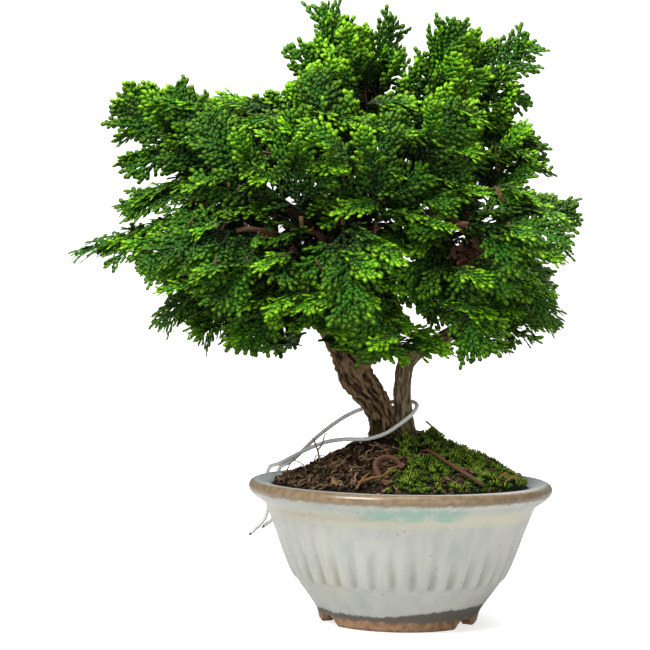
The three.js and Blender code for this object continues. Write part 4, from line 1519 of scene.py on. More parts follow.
@dataclass
class SurfaceRoots:
    """The roots that loop over the soil, and the loose dead twigs that stand in it."""

    site: Site
    hoop: tuple[Point, ...] = (
        (-6, -40.5, 54.6), (-9.4, -37.6, 58.6), (-10.4, -34.5, 62.2),
        (-7.4, -32.5, 64.4), (-3, -32, 63.4), (-0.6, -33, 60.4),
    )
    long: tuple[Point, ...] = (
        (6.4, -17, 65), (9.5, -22.4, 66), (15.6, -29, 62.6), (22.5, -35, 58.8), (28, -37.5, 55.4),
    )
    # Rootlets and dead twigs: the radius at each one's start, then its points.
    loose: tuple[tuple[float, tuple[Point, ...]], ...] = (
        (0.42, (
            (34.5, -29, 57), (37.5, -27.5, 58.6), (39.6, -26.4, 56.8),
            (42.6, -23.4, 58.4), (44.4, -19, 56),
        )),
        (0.35, ((37, -29, 55.6), (40.6, -27, 57.4), (43.4, -23, 55.2))),
        (0.5, (
            (-16.6, -40.4, 55.6), (-12.2, -41.4, 57.4), (-8, -40, 58.2),
            (-4.4, -37.6, 60.8), (-1, -35, 61.4),
        )),
        (0.42, ((-30.6, -12, 60.2), (-31.2, -12.6, 64), (-32.4, -12.8, 67.4), (-33.2, -13, 69.4))),
        (0.3, ((-31.4, -12.6, 64.8), (-29.8, -12.9, 67), (-28.8, -13.2, 70.6), (-28, -13.4, 71.4))),
        (0.34, ((9.4, -0.6, 75.4), (13.6, 1, 72), (17, 2.4, 69.6))),
        (0.5, ((-17.4, -42, 53.4), (-15, -41, 57), (-12.6, -40.4, 59.4))),
        (0.3, ((-44, -6, 53.6), (-40.6, -10.4, 60.4), (-37, -13.6, 59.6), (-35.4, -16.4, 57.2))),
    )

    def build(self, finish: BarkFinish, dry: BarkFinish) -> Iterator[Piece]:
        """Makes the roots and the loose twigs.

        Args:
            finish: The living roots' bark.
            dry: The dead twigs' and rootlets' bark.

        Yields:
            Each finished piece.
        """
        material = finish.material(self.site)
        roots = {"surface_root_hoop": (0.9, self.hoop), "surface_root_long": (0.66, self.long)}
        for node, (radius, points) in roots.items():
            line = Spline(points).at(np.linspace(0, 1, 70))
            draft = MeshDraft()
            add_tube(draft, line, radius * swell_along(line, 0.16, 2.4), 14, relief=0.6)
            yield report(draft.build(node + "_bark", self.site, material), "root", node)
        draft = MeshDraft()
        for radius, points in self.loose:
            line = Spline(points).at(np.linspace(0, 1, 26))
            radii = radius * swell_along(line, 0.25, 1.8) * np.linspace(1, 0.6, len(line))
            add_tube(draft, line, radii, 8, relief=0.7)
        yield report(draft.build("rootlets_and_dead_twigs", self.site, dry.material(self.site)), "root")


@dataclass
class TieWire:
    """The coated tie wire, hooked over the lip and round the trunks, with its cut core at both ends."""

    site: Site
    coat_radius: float = 0.75
    core_radius: float = 0.42
    bare: float = 0.9
    route: tuple[Point, ...] = (
        (-57.4, 16, 29.2), (-51.6, 24, 35), (-50.6, 30, 42), (-51.6, 31, 49), (-50.4, 29.4, 54.2),
        (-46.6, 25.2, 56.2), (-34.4, 9, 63.8), (-26.8, -2, 67.4), (-20.4, -7, 68.6), (-13.2, -9.3, 69),
        (-6.5, -9.2, 71), (-0.9, -7.4, 74.6), (4.2, -3.8, 78.6), (5.9, 1.6, 81.6), (2.8, 6.4, 82.6),
        (-4.6, 7.7, 81.8), (-13.4, 8.6, 79.6), (-21.1, 13.5, 75.8), (-31.5, 22, 67.4), (-40.2, 30.2, 58.2),
        (-43.6, 34.2, 55.4), (-46.6, 37.8, 53.2), (-47, 38.4, 47.6), (-45.8, 36, 41.8),
        (-47.4, 28.6, 35.6), (-52.6, 22, 31.4),
    )

    def build(self, coat: PlainFinish, core: PlainFinish) -> Iterator[Piece]:
        """Makes the coat and the core.

        Args:
            coat: The plastic coat.
            core: The cut metal core.

        Yields:
            Each finished piece.
        """
        curve = Spline(self.route)
        bare = self.bare / curve.length
        line = curve.at(np.linspace(bare, 1 - bare, 360))
        dents = swell_along(line, 0.05, 3.0)
        dents[[0, -1]] *= 0.8
        draft = MeshDraft()
        add_tube(draft, line, self.coat_radius * dents, 12)
        yield report(draft.build("tie_wire_coat", self.site, coat.material()), "wire", "tie_wire")
        draft = MeshDraft()
        for low, high in ((0, 2 * bare), (1 - 2 * bare, 1)):
            add_tube(draft, curve.at(np.linspace(low, high, 8)), self.core_radius, 12)
        yield report(draft.build("tie_wire_core", self.site, core.material()), "wire")


# ---- leaves


@dataclass(frozen=True)
class Fan:
    """One fan of a spray: where it leaves the stalk, how it is turned and how long it is."""

    start: float
    turn: float
    lift: float
    share: float
    stalk: float
    fingers: int

    def pose(self, size: float) -> Array:
        """The 4 by 4 place of the fan on a spray of a size."""
        shift = Matrix.Translation((self.start * size, 0, 0))
        turn = Matrix.Rotation(math.radians(self.turn), 4, "Z")
        lift = Matrix.Rotation(-math.radians(self.lift), 4, "Y")
        return np.array(shift @ turn @ lift)


@dataclass(frozen=True)
class SprayForm:
    """The form that every spray shares: three fans of a length, bent as a shallow dish."""

    length: float = 35.0
    thick: float = 0.8
    droop: float = 0.3
    cup: float = 0.16
    angle: float = 46.0
    width: float = 2.3
    reach: float = 0.36
    rib: float = 0.9
    bare: float = 0.6
    lag: float = 0.45
    sizes: tuple[float, ...] = (1, 0.88, 0.76, 0.66)
    fans: tuple[Fan, ...] = (
        Fan(0, 0, 0, 1, 8, 4),
        Fan(2, 52, 10, 0.7, 4, 2),
        Fan(3.5, -49, -8, 0.66, 4, 2),
    )

    def finger_reach(self, along: float, length: float, stalk: float) -> float:
        """How far a side finger reaches that leaves the rib at a place."""
        return length * self.reach * math.sin(math.pi * (0.36 + 0.52 * (along - stalk) / (length - stalk)))

    def drop(self, x: Array, y: Array, length: float) -> Array:
        """How far the dish lies below the flat fan at a place."""
        return (self.droop * x**2 + self.cup * y**2) / length

    def _fingers(self, fan: Fan, side: int) -> Iterator[Pair]:
        """Where each finger on a side of a fan leaves the rib, and how far it reaches."""
        length = self.length * fan.share
        step = (length - fan.stalk) / (fan.fingers + self.bare)
        for k in range(fan.fingers):
            along = fan.stalk + step * (k + (0 if side > 0 else self.lag))
            yield along, self.finger_reach(along, length, fan.stalk)

    def _set_in(self, fan: Fan, flat: list[Pair], size: float, heights: Sequence[float]) -> Array:
        """Bends a fan's flat points into its dish and sets them in their place.

        Args:
            fan: The fan.
            flat: Its points, for a size of 1.
            size: The spray's size.
            heights: How far above the dish each layer of the points lies.

        Returns:
            The points of every layer.
        """
        xy = np.array(flat) * size
        z = -self.drop(xy[:, 0], xy[:, 1], self.length * fan.share * size)
        pose = fan.pose(size)
        layers = [np.column_stack([xy, z + height]) for height in heights]
        return np.vstack(layers) @ pose[:3, :3].T + pose[:3, 3]

    def tips(self, size: float) -> Array:
        """The places of the fingers' and the ribs' ends on a spray of a size.

        Args:
            size: The spray's size.

        Returns:
            The places, one per row.
        """
        lean = math.radians(self.angle)
        ends = []
        for fan in self.fans:
            flat = [(self.length * fan.share, 0.0)]
            for side in (-1, 1):
                for along, reach in self._fingers(fan, side):
                    out = reach + 1.0
                    flat.append((along + out * math.cos(lean), side * (self.rib + out * math.sin(lean))))
            ends.append(self._set_in(fan, flat, size, (0.0,)))
        return np.vstack(ends)

    def corners(self, size: float) -> Array:
        """The corners of the whole solid spray of a size, to find where its solid lies.

        Args:
            size: The spray's size.

        Returns:
            The corners, one per row.
        """
        lean = math.radians(self.angle)
        parts = []
        for fan in self.fans:
            flat = []
            for side in (-1, 1):
                flat.append((0.0, side * self.rib))
                for along, out in self._fingers(fan, side):
                    heel = (along + out * math.cos(lean), self.rib + out * math.sin(lean))
                    toe = (heel[0] + self.width * math.sin(lean), heel[1] - self.width * math.cos(lean))
                    flat += [(x, side * y) for x, y in ((along, self.rib), heel, toe)]
                flat.append((self.length * fan.share, side * self.rib))
            parts.append(self._set_in(fan, flat, size, (-self.thick / 2, self.thick / 2)))
        return np.vstack(parts)


def best_turn(source: Array, target: Array) -> tuple[Array, Array]:
    """The rotation and shift that bring points nearest to their partners.

    Args:
        source: The points, one per row.
        target: Each one's partner.

    Returns:
        The 3 by 3 rotation, and the shift after it.
    """
    from_middle, to_middle = source.mean(axis=0), target.mean(axis=0)
    u, _, vt = np.linalg.svd((source - from_middle).T @ (target - to_middle))
    flip = np.diag([1.0, 1.0, float(np.sign(np.linalg.det(vt.T @ u.T)))])
    rotation = vt.T @ flip @ u.T
    return rotation, to_middle - rotation @ from_middle


def main_axes(points: Array) -> Array:
    """The right-handed axes along which points spread the most, one per column."""
    axes = np.linalg.svd(points - points.mean(axis=0), full_matrices=False)[2].T
    axes[:, 2] *= np.sign(np.linalg.det(axes))
    return axes


def fit_pose(model: Array, target: Array, rounds: int = 30, kept: float = 0.85) -> tuple[Array, float]:
    """Finds where a known form lies among points.

    Args:
        model: The form's corners.
        target: The corners that were found.
        rounds: How often the match is improved.
        kept: The share of the corners that each round goes by, the nearest ones.

    Returns:
        The form's 4 by 4 place, and the mean distance that is left.
    """
    best, least = np.eye(4), math.inf
    for signs in ((1, 1, 1), (1, -1, -1), (-1, 1, -1), (-1, -1, 1)):
        rotation = main_axes(target) @ np.diag(signs) @ main_axes(model).T
        shift = target.mean(axis=0) - rotation @ model.mean(axis=0)
        for _ in range(rounds):
            moved = model @ rotation.T + shift
            gaps = np.linalg.norm(moved[:, None] - target[None], axis=-1)
            nearest, gap = gaps.argmin(axis=1), gaps.min(axis=1)
            keep = gap <= np.quantile(gap, kept)
            rotation, shift = best_turn(model[keep], target[nearest[keep]])
        left = float(gap[keep].mean())
        if left < least:
            least = left
            best = np.eye(4)
            best[:3, :3], best[:3, 3] = rotation, shift
    return best, least


@dataclass(frozen=True)
class Shoot:
    """One shoot in a fan: where it begins, how it runs and how much it stands out of the fan."""

    start: Array
    heading: float
    length: float
    bend: float = 0.0
    base: float = 0.0
    slope: float = 0.0
    lift: float = 0.0
    roll: float = 0.0
    rim: float = 1.0

    def leaves(self, step: float) -> Array:
        """Sets leaves along the shoot.

        Args:
            step: The distance between them.

        Returns:
            Rows of x, y, direction (two), size, tip, height, slope and roll, one for each leaf.
        """
        count = max(1, int(self.length / step + 1.1))
        shares = np.linspace(0, 1, count)
        headings = self.heading + self.bend * shares
        run = self.length / max(count - 1, 1)
        moves = np.column_stack([np.cos(headings), np.sin(headings)]) * run
        places = self.start + np.vstack([np.zeros(2), np.cumsum(moves[:-1], axis=0)])
        from_tip = (1 - shares) * self.length
        tip = self.rim * np.clip(1 - from_tip / 4.0, 0, 1)
        size = 0.86 + 0.2 * np.exp(-from_tip / 1.5) + 0.12 * np.clip(from_tip / 14, 0, 1)
        height = self.base + self.slope * shares * self.length + self.lift * shares**2
        slope = self.slope + 2 * self.lift * shares / max(self.length, 1)
        values = [size, tip, height, slope, np.full(count, self.roll)]
        return np.column_stack([places, np.cos(headings), np.sin(headings), *values])

    def at(self, travel: float) -> tuple[Array, float, float]:
        """The place, the heading and the height at a distance along the shoot."""
        share = travel / self.length
        half = self.heading + self.bend * share / 2
        place = self.start + travel * np.array([math.cos(half), math.sin(half)])
        return place, self.heading + self.bend * share, self.base + self.slope * travel + self.lift * share**2


@dataclass
class Growth:
    """One fan that grows: its form and place, its size, how bright its tips are, how much it is spared
    painted shade, and how dead it is.
    """

    form: SprayForm
    pose: Array
    length: float
    bright: float = 1.0
    stalk: float = 1.6
    spacing: float = 6.0
    lit: float = 1.0
    dead: float = 0.0
    fingers: int = 0

    def __post_init__(self) -> None:
        """Finds how many long shoots the fan has on each side, if that isn't given."""
        self.fingers = self.fingers or max(1, round(self.length / self.spacing))


@dataclass(frozen=True)
class Outline:
    """The crown's outline from the front, which the outer fans keep within."""

    eye: Point = (-29.4, -738.0, 125.0)
    corners: tuple[Pair, ...] = (
        (-124, 138), (-107, 155), (-113, 202), (-83, 204), (-76, 194), (-52, 202), (-43, 202),
        (-39, 216), (-34, 233), (-16, 227), (-8, 216), (2, 215), (11, 229), (31, 222), (56, 218),
        (37, 199), (58, 171), (65, 156), (60, 141), (65, 125), (54, 106), (32, 99), (4, 102),
        (0, 93), (-8, 92), (-26, 107), (-32, 112), (-40, 102), (-61, 99), (-80, 104), (-91, 115),
        (-98, 129), (-113, 137),
    )

    def holds(self, points: Array) -> bool:
        """Whether every point lies within the outline, as seen from the front.

        Args:
            points: The points, one per row.

        Returns:
            True where all of them do.
        """
        eye = np.array(self.eye)
        share = -eye[1] / (points[:, 1] - eye[1])
        x, z = (eye[[0, 2]] + (points[:, [0, 2]] - eye[[0, 2]]) * share[:, None]).T
        first = np.array(self.corners)
        last = np.roll(first, -1, axis=0)
        (ax, az), (bx, bz) = first.T[..., None], last.T[..., None]
        crosses = ((az > z) != (bz > z)) & (x < ax + (bx - ax) * (z - az) / np.where(bz == az, 1, bz - az))
        return bool((crosses.sum(axis=0) % 2 == 1).all())


@dataclass
class Foliage:
    """Every spray of scale leaves: those at the limbs' ends, and the small ones between them."""

    site: Site
    wood: Wood
    scatter: Scatter
    form: SprayForm = SprayForm()
    shell_form: SprayForm = SprayForm(reach=0.3, angle=42.0, droop=0.22, cup=0.14)
    plume_form: SprayForm = SprayForm(reach=0.22, angle=35.0, droop=0.1, cup=0.06)
    leaf_step: float = 1.5
    twin_step: float = 1.9
    longest_twin: float = 3.4
    leaf_scale: float = 1.08
    levelling: float = 0.4
    steepest: float = 0.7
    shell_gap: float = 6.6
    shell_depths: tuple[float, ...] = (-3, 0, 3, 6, 10)
    shelf_gap: float = 14.0
    shelf_fall: float = 0.3
    hollow: float = -0.3
    fillings: int = 64
    inner_step: float = 4.4
    longest_twig: float = 12.0
    outline: Outline = Outline()
    low_tips: tuple[Point, ...] = (
        (-21, -12, 103), (-17, -15, 98), (-10, -17, 95), (-4, -18, 97),
        (2, -19, 102), (9, -21, 106), (16, -19, 108), (-12, -20, 108),
        (3, -22, 113),
    )
    middle: Point = (-26, 2, 152)
    spread: Point = (80, 48, 60)
    random: np.random.Generator = field(default_factory=lambda: np.random.default_rng(SEED))

    def _leaf(self) -> Piece:
        """One group of scale leaves, a short flat keeled length of shoot with a blunt end."""
        outline = np.array([(0.66, -0.4), (0.8, 1.35), (0.0, 2.0), (-0.8, 1.35), (-0.66, -0.4)])
        points = np.vstack([np.column_stack([outline, np.full(5, -0.07)]), [(0, 0.9, 0.13)]])
        top = [(k, (k + 1) % 5, 5) for k in range(5)]
        bottom = [(0, 4, 1), (1, 4, 3), (1, 3, 2)]
        draft = MeshDraft()
        # keel is high at the base and sides and 0 at the tip, for painted shade where the leaves overlap.
        draft.add(points, np.array(top + bottom), keel=np.array([0.8, 0.5, 0, 0.5, 0.8, 0.1]))
        return draft.build("scale_leaf_unit", Site(np.zeros(3)))

    def _level_roll(self, pose: Array, heading: float) -> float:
        """How far a side shoot rolls in its fan so that its own leaves lie nearer to level.

        Args:
            pose: The fan's 4 by 4 place.
            heading: The shoot's direction from the rib, in radians.

        Returns:
            The slope of the roll, which is higher on the shoot's left side.
        """
        out = unit((pose[:3, 3] - self.middle) * (1, 1, 0.2))
        wanted = pose[:3, :3].T @ (UP + 0.55 * out)
        left = np.array([-math.sin(heading), math.cos(heading)])
        level = math.copysign(max(abs(wanted[2]), 0.2), wanted[2])
        full = -float(left @ wanted[:2]) / level
        return self.levelling * max(-self.steepest, min(self.steepest, full))

    def _grow(self, fan: Growth) -> Array:
        """Grows the flat shoots of one fan.

        Args:
            fan: The fan.

        Returns:
            Rows as Shoot.leaves gives them.
        """
        random, form, length, stalk = self.random, fan.form, fan.length, fan.stalk
        bow = random.normal(0, 0.12)
        rib = Shoot(np.zeros(2), -bow / 2, length, bow, rim=fan.bright)
        rows = [rib.leaves(self.leaf_step)]
        step = (length - stalk) / (fan.fingers + form.bare)
        stations = [(0.7 * stalk, 0.5)]
        for k in range(fan.fingers):
            stations += [(stalk + step * k, 1.0), (stalk + step * (k + 0.5), 0.62)]
        stations += [(length - 4.4, 0.5), (length - 2.6, 0.32)]
        for side in (-1, 1):
            late = 0.0 if side > 0 else form.lag
            for along, share in stations:
                along += late * step * 0.9 if along < length - 5 else random.normal(0, 0.3)
                if not 0.5 < along < length - 1:
                    continue
                full = form.finger_reach(max(along, stalk), length, stalk)
                reach = full * share * random.uniform(0.85, 1.1) + 0.9
                if reach < 1.5:
                    continue
                place, heading, _ = rib.at(along)
                heading += side * (math.radians(form.angle) + random.normal(-0.06, 0.09))
                shoot = Shoot(
                    place,
                    heading,
                    reach,
                    -side * random.uniform(0.05, 0.3),
                    slope=random.normal(0.03, 0.13),
                    lift=random.normal(-0.2, 0.6),
                    roll=self._level_roll(fan.pose, heading) + random.normal(0, 0.22),
                    rim=fan.bright * (0.45 + 0.55 * share),
                )
                rows.append(shoot.leaves(self.leaf_step))
                rows += self._twins(shoot)
        return np.vstack(rows)

    def _twins(self, shoot: Shoot) -> Iterator[Array]:
        """Grows the short shoots on both sides of a side shoot.

        Args:
            shoot: The side shoot.

        Yields:
            Rows as Shoot.leaves gives them.
        """
        random = self.random
        side = 1 if random.uniform() < 0.5 else -1
        travel = 1.7
        while travel < shoot.length - 1.0:
            place, heading, height = shoot.at(travel)
            length = min(0.8 + 0.3 * (shoot.length - travel) * random.uniform(0.6, 1.2), self.longest_twin)
            lean = 0.72 + random.normal(0, 0.1)
            tilt = side * shoot.roll * math.sin(lean)
            rim = shoot.rim * (0.25 + 0.75 * (travel / shoot.length) ** 1.5)
            heading += side * lean
            twin = Shoot(place, heading, length, -side * 0.25, height, tilt, 0.0, shoot.roll, rim)
            yield twin.leaves(self.leaf_step)
            side = -side
            travel += self.twin_step * random.uniform(0.85, 1.15)

    def _add_fan(self, draft: MeshDraft, fan: Growth) -> None:
        """Grows a fan, bends it into its dish and adds its leaves to a draft.

        Args:
            draft: The mesh of points that grows.
            fan: The fan.
        """
        flat = self._grow(fan)
        if fan.dead:
            flat = flat[self.random.uniform(size=len(flat)) < 0.6]
        form, length, turn, shift = fan.form, fan.length, fan.pose[:3, :3], fan.pose[:3, 3]
        lightness = self.random.normal(0.4, 0.25) + 0.3 * smooth_step(shift[2], 165, 200)
        tone = (0.7 if fan.dead else 1.0) * float(np.clip(lightness, 0, 1))
        x, y, ax, ay, size, tip, height, slope, roll = flat.T
        dx, dy = -2 * form.droop * x / length, -2 * form.cup * y / length
        aim = np.column_stack([ax, ay, ax * dx + ay * dy + slope])
        level = np.column_stack([-dx + roll * ay, -dy - roll * ax, np.ones(len(x))])
        facing = unit(level) + self.random.normal(0, 0.08, (len(x), 3))
        points = np.column_stack([x, y, height - form.drop(x, y, length)]) @ turn.T + shift
        # Painted shade: open falls deep in the crown, towards the fan's base, and with a lower lit.
        away = np.linalg.norm((points - self.middle) / self.spread, axis=1)
        draft.add(
            points,
            aim=unit(aim) @ turn.T,
            facing=unit(facing) @ turn.T,
            size=size,
            tip=tip,
            tone=tone * smooth_step(x / length, -0.2, 0.8),
            dead=fan.dead,
            open=fan.lit * smooth_step(away, 0.4, 1.0) * (0.3 + 0.7 * smooth_step(x / length, 0.1, 0.6)),
        )

    def _fit(self, node: str) -> tuple[Array, float]:
        """Where the spray that is a frame node lies, and its size.

        Args:
            node: The node's name.

        Returns:
            The spray's 4 by 4 place, and its size.
        """
        corners = self.site.node_points(node)
        fits = [(*fit_pose(self.form.corners(size), corners), size) for size in self.form.sizes]
        root, left, size = min(fits, key=lambda fit: fit[1])
        LOG.debug("%s: size %.2f, %.4f mm left", node, size, left)
        return root, size

    def _spray_points(self, root: Array, size: float) -> MeshDraft:
        """The leaves of the spray of a size that stands for a frame node.

        Args:
            root: The spray's 4 by 4 place.
            size: The spray's size.

        Returns:
            Its leaves' points.
        """
        draft = MeshDraft()
        for fan in self.form.fans:
            length, pose = self.form.length * fan.share * size, root @ fan.pose(size)
            own = Growth(self.form, pose, length, 0.5, fan.stalk * size, lit=0.6, fingers=fan.fingers)
            self._add_fan(draft, own)
            if fan.share == 1:
                self._add_layer(draft, pose, length)
        return draft

    def _add_layer(self, draft: MeshDraft, pose: Array, length: float) -> None:
        """Adds a smaller fan that rises from a fan's rib, over it or under it.

        Args:
            draft: The mesh of points that grows.
            pose: The larger fan's 4 by 4 place.
            length: The larger fan's length.
        """
        random = self.random
        side = 1 if random.integers(2) else -1
        start = length * random.uniform(0.08, 0.5)
        shift = Matrix.Translation((start, 0, -float(self.form.drop(start, 0, length))))
        turn = Matrix.Rotation(side * math.radians(random.uniform(10, 40)), 4, "Z")
        tilt = Matrix.Rotation(-math.radians(random.uniform(12, 34)) * random.choice((1, 1, -1)), 4, "Y")
        roll = Matrix.Rotation(math.radians(random.normal(0, 25)), 4, "X")
        small = min(length * random.uniform(0.42, 0.62), length - start)
        own = pose @ np.array(shift @ turn @ tilt @ roll)
        tip = own[:3, 3] + small * own[:3, 0]
        if self.outline.holds(tip[None]):
            self._add_fan(draft, Growth(self.shell_form, own, small, 0.8, 1.8, 7.0))

    def _shelf(self, place: Array) -> float:
        """The height of the shelf of foliage that is nearest to a place."""
        fall = self.shelf_fall * float(np.hypot(*(place - self.middle)[:2]))
        fall += 7 * ripple(place[0], place[1], 0.2 * place[2], 30.0, 1)
        return round((place[2] + fall) / self.shelf_gap) * self.shelf_gap - fall

    def _shell_fans(self, tips: Array, lines: kdtree.KDTree) -> Iterator[Growth]:
        """Finds places for the fans that lie in layers round the crown.

        Args:
            tips: The ends of all the sprays' fingers.
            lines: Points of the trunks and the limbs, which carry the fans' twigs.

        Yields:
            Each fan.
        """
        random = self.random
        taken: list[Array] = []
        for tip in np.vstack([self.low_tips, tips[random.permutation(len(tips))]]):
            rise = float(smooth_step(tip[2], 172, 212))
            if tip[2] > 110:
                tip = tip + (1 - rise) * (self._shelf(tip) - tip[2]) * UP
            if taken and np.linalg.norm(np.array(taken) - tip, axis=1).min() < self.shell_gap:
                continue
            if tip[2] < 190 and ripple(*tip, 16.0, 1) < self.hollow:
                continue
            taken.append(tip)
            out = unit((tip - self.middle) / self.spread)
            level = unit(np.array([out[0], out[1], 0.0]) + 1e-6)
            aside = np.array([math.copysign(1.0, tip[0] - self.middle[0] + random.normal(0, 9)), 0.0, 0.0])
            aim = (1 - rise) * (0.5 * level + 0.7 * aside - 0.12 * UP)
            aim += rise * (0.4 * level + 0.25 * aside + 0.9 * UP)
            aim = unit(aim + random.normal(0, 0.15, 3))
            length = random.uniform(14, 23) + 3 * rise
            nearer = np.array([0.0, math.copysign(1.0, tip[1] - 6.0), 0.0])
            tilt = (0.3 + 0.4 * rise) * level + 0.35 * nearer
            facing = across(aim, (1 - 0.7 * rise) * UP + tilt + random.normal(0, 0.12, 3))
            left = np.cross(facing, aim)
            sag = self.shell_form.droop * np.array([[1.0], [0.5], [0.5]]) * facing
            back = np.array([[0.0], [0.35], [0.35]]) * aim
            ends = tip + length * (np.array([[0.0], [0.22], [-0.22]]) * left - back - sag)
            depths = [depth for depth in self.shell_depths if self.outline.holds(ends - depth * out)]
            if not depths:
                continue
            foot = tip - depths[0] * out - aim * length
            self._carry(foot, lines)
            form = self.plume_form if rise > 0.5 else self.shell_form
            yield Growth(form, pose_at(aim, facing, foot), length)

    def _inner_fans(self, crown: kdtree.KDTree) -> Iterator[Growth]:
        """Finds places for the small fans along the limbs, inside the crown.

        Args:
            crown: The corners of all the sprays, which the small fans keep near to.

        Yields:
            Each fan.
        """
        random = self.random
        for curve in self.wood.limb_curves().values():
            for order, travel in enumerate(np.arange(0.3, 0.97, self.inner_step / curve.length), 1):
                base, tangent = curve.at(travel), curve.tangent(travel)
                push = turn_about(tangent, order * GOLDEN_TURN) @ across(tangent, UP)
                out = unit(base - self.middle)
                aim = unit(tangent * random.uniform(0.4, 0.9) + push + 0.5 * out + random.normal(0, 0.12, 3))
                foot = base + aim * random.uniform(2.0, 4.5)
                length = random.uniform(11, 18)
                while length > 9 and crown.find(Vector(foot + aim * length))[2] > 7.5:
                    length -= 2
                if crown.find(Vector(foot + aim * length))[2] > 9:
                    continue
                level = unit(np.array([out[0], out[1], 0.01]))
                facing = across(aim, UP + 0.5 * level + random.normal(0, 0.25, 3))
                self.wood.add_twig(base, foot, 0.55)
                dead = 1.0 if travel < 0.6 and random.uniform() < 0.3 else 0.0
                bright = 0.3 + 0.4 * travel
                yield Growth(self.shell_form, pose_at(aim, facing, foot), length, bright, 2.0, 7.0, 0.6, dead)

    def _carry(self, foot: Array, lines: kdtree.KDTree) -> None:
        """Joins a fan's foot to the nearest limb or rib with a short twig."""
        carrier, _, gap = lines.find(Vector(foot))
        if gap < self.longest_twig:
            self.wood.add_twig(np.array(carrier), foot, 0.45)

    def _filling_fans(self, crown: kdtree.KDTree, lines: kdtree.KDTree) -> Iterator[Growth]:
        """Finds places for the fans, darkened with painted shade, that close the gaps deep in the crown.

        Args:
            crown: The corners of all the sprays.
            lines: Points of the limbs, which carry the fans' twigs.

        Yields:
            Each fan.
        """
        random = self.random
        found = 0
        while found < self.fillings:
            out = unit(random.normal(0, 1, 3)) * random.uniform(0.1, 0.8)
            place = self.middle + out * self.spread
            if place[2] < 116 or crown.find(Vector(place))[2] < 4 or not self.outline.holds(place[None]):
                continue
            found += 1
            aim = unit(out * (1.0, 0.6, 0.3) + random.normal(0, 0.25, 3))
            facing = across(aim, UP + np.array([0.0, math.copysign(0.7, place[1]), 0.0]))
            length = random.uniform(14, 20)
            foot = place - 0.5 * length * aim
            self._carry(foot, lines)
            yield Growth(self.shell_form, pose_at(aim, facing, foot), length, 0.35, lit=0.55)

    def build(self, finish: ScaleLeafFinish) -> Iterator[Piece]:
        """Makes every spray and the small fans between them.

        Args:
            finish: What the scale leaves look like.

        Yields:
            Each finished piece.
        """
        material, leaf = finish.material(), self._leaf()
        nodes = self.site.nodes("spray_")
        limbs = self.wood.limb_curves()
        fits = {node: self._fit(node) for node in nodes}
        for node, (root, size) in fits.items():
            self._join_to_limb(limbs[node.removeprefix("spray_")[:-2]], root[:3, 3])
            piece = self._spray_points(root, size).build(node.replace("spray", "leaves"), self.site)
            yield self._dress(piece, leaf, material, node)

        tips = [self.form.tips(size) @ root[:3, :3].T + root[:3, 3] for root, size in fits.values()]
        ribs = [root @ fan.pose(size) for root, size in fits.values() for fan in self.form.fans]
        lines = [curve.at(np.linspace(0.3, 1, 40))[:, :3] for curve in limbs.values()]
        lines += [rib[:3, 3] + np.linspace(0, 14, 8)[:, None] * rib[:3, 0] for rib in ribs]
        carriers = nearest_point_tree(np.vstack(lines))
        crown = nearest_point_tree(np.vstack([self.site.node_points(node) for node in nodes]))
        fans = {"front": MeshDraft(), "back": MeshDraft(), "inner": MeshDraft()}
        for fan in self._shell_fans(np.vstack(tips), carriers):
            self._add_fan(fans["front" if fan.pose[1, 3] < 0 else "back"], fan)
        for found in (self._inner_fans(crown), self._filling_fans(crown, carriers)):
            for fan in found:
                self._add_fan(fans["inner"], fan)
        for side, draft in fans.items():
            yield self._dress(draft.build(side + "_fans", self.site), leaf, material)
        bpy.data.objects.remove(leaf)

    def _dress(self, piece: Piece, leaf: Piece, material: Material, *nodes: str) -> Piece:
        """Sets the leaves on a piece's points and hides the frame nodes that it stands for."""
        self.scatter.dress(piece, leaf, material, scale=self.leaf_scale, spread=0.06)
        return report(piece, "foliage", *nodes)

    def _join_to_limb(self, curve: Spline, root: Array) -> None:
        """Adds the twig that carries a spray where its limb's end doesn't.

        Args:
            curve: The limb's centreline.
            root: Where the spray begins.
        """
        line = curve.at(np.linspace(0.3, 1, 60))
        gaps = np.linalg.norm(line - root, axis=1)
        if gaps[-1] > 1.0:
            self.wood.add_twig(line[max(int(gaps.argmin()) - 3, 0)], root, 0.9)


# ---- studio


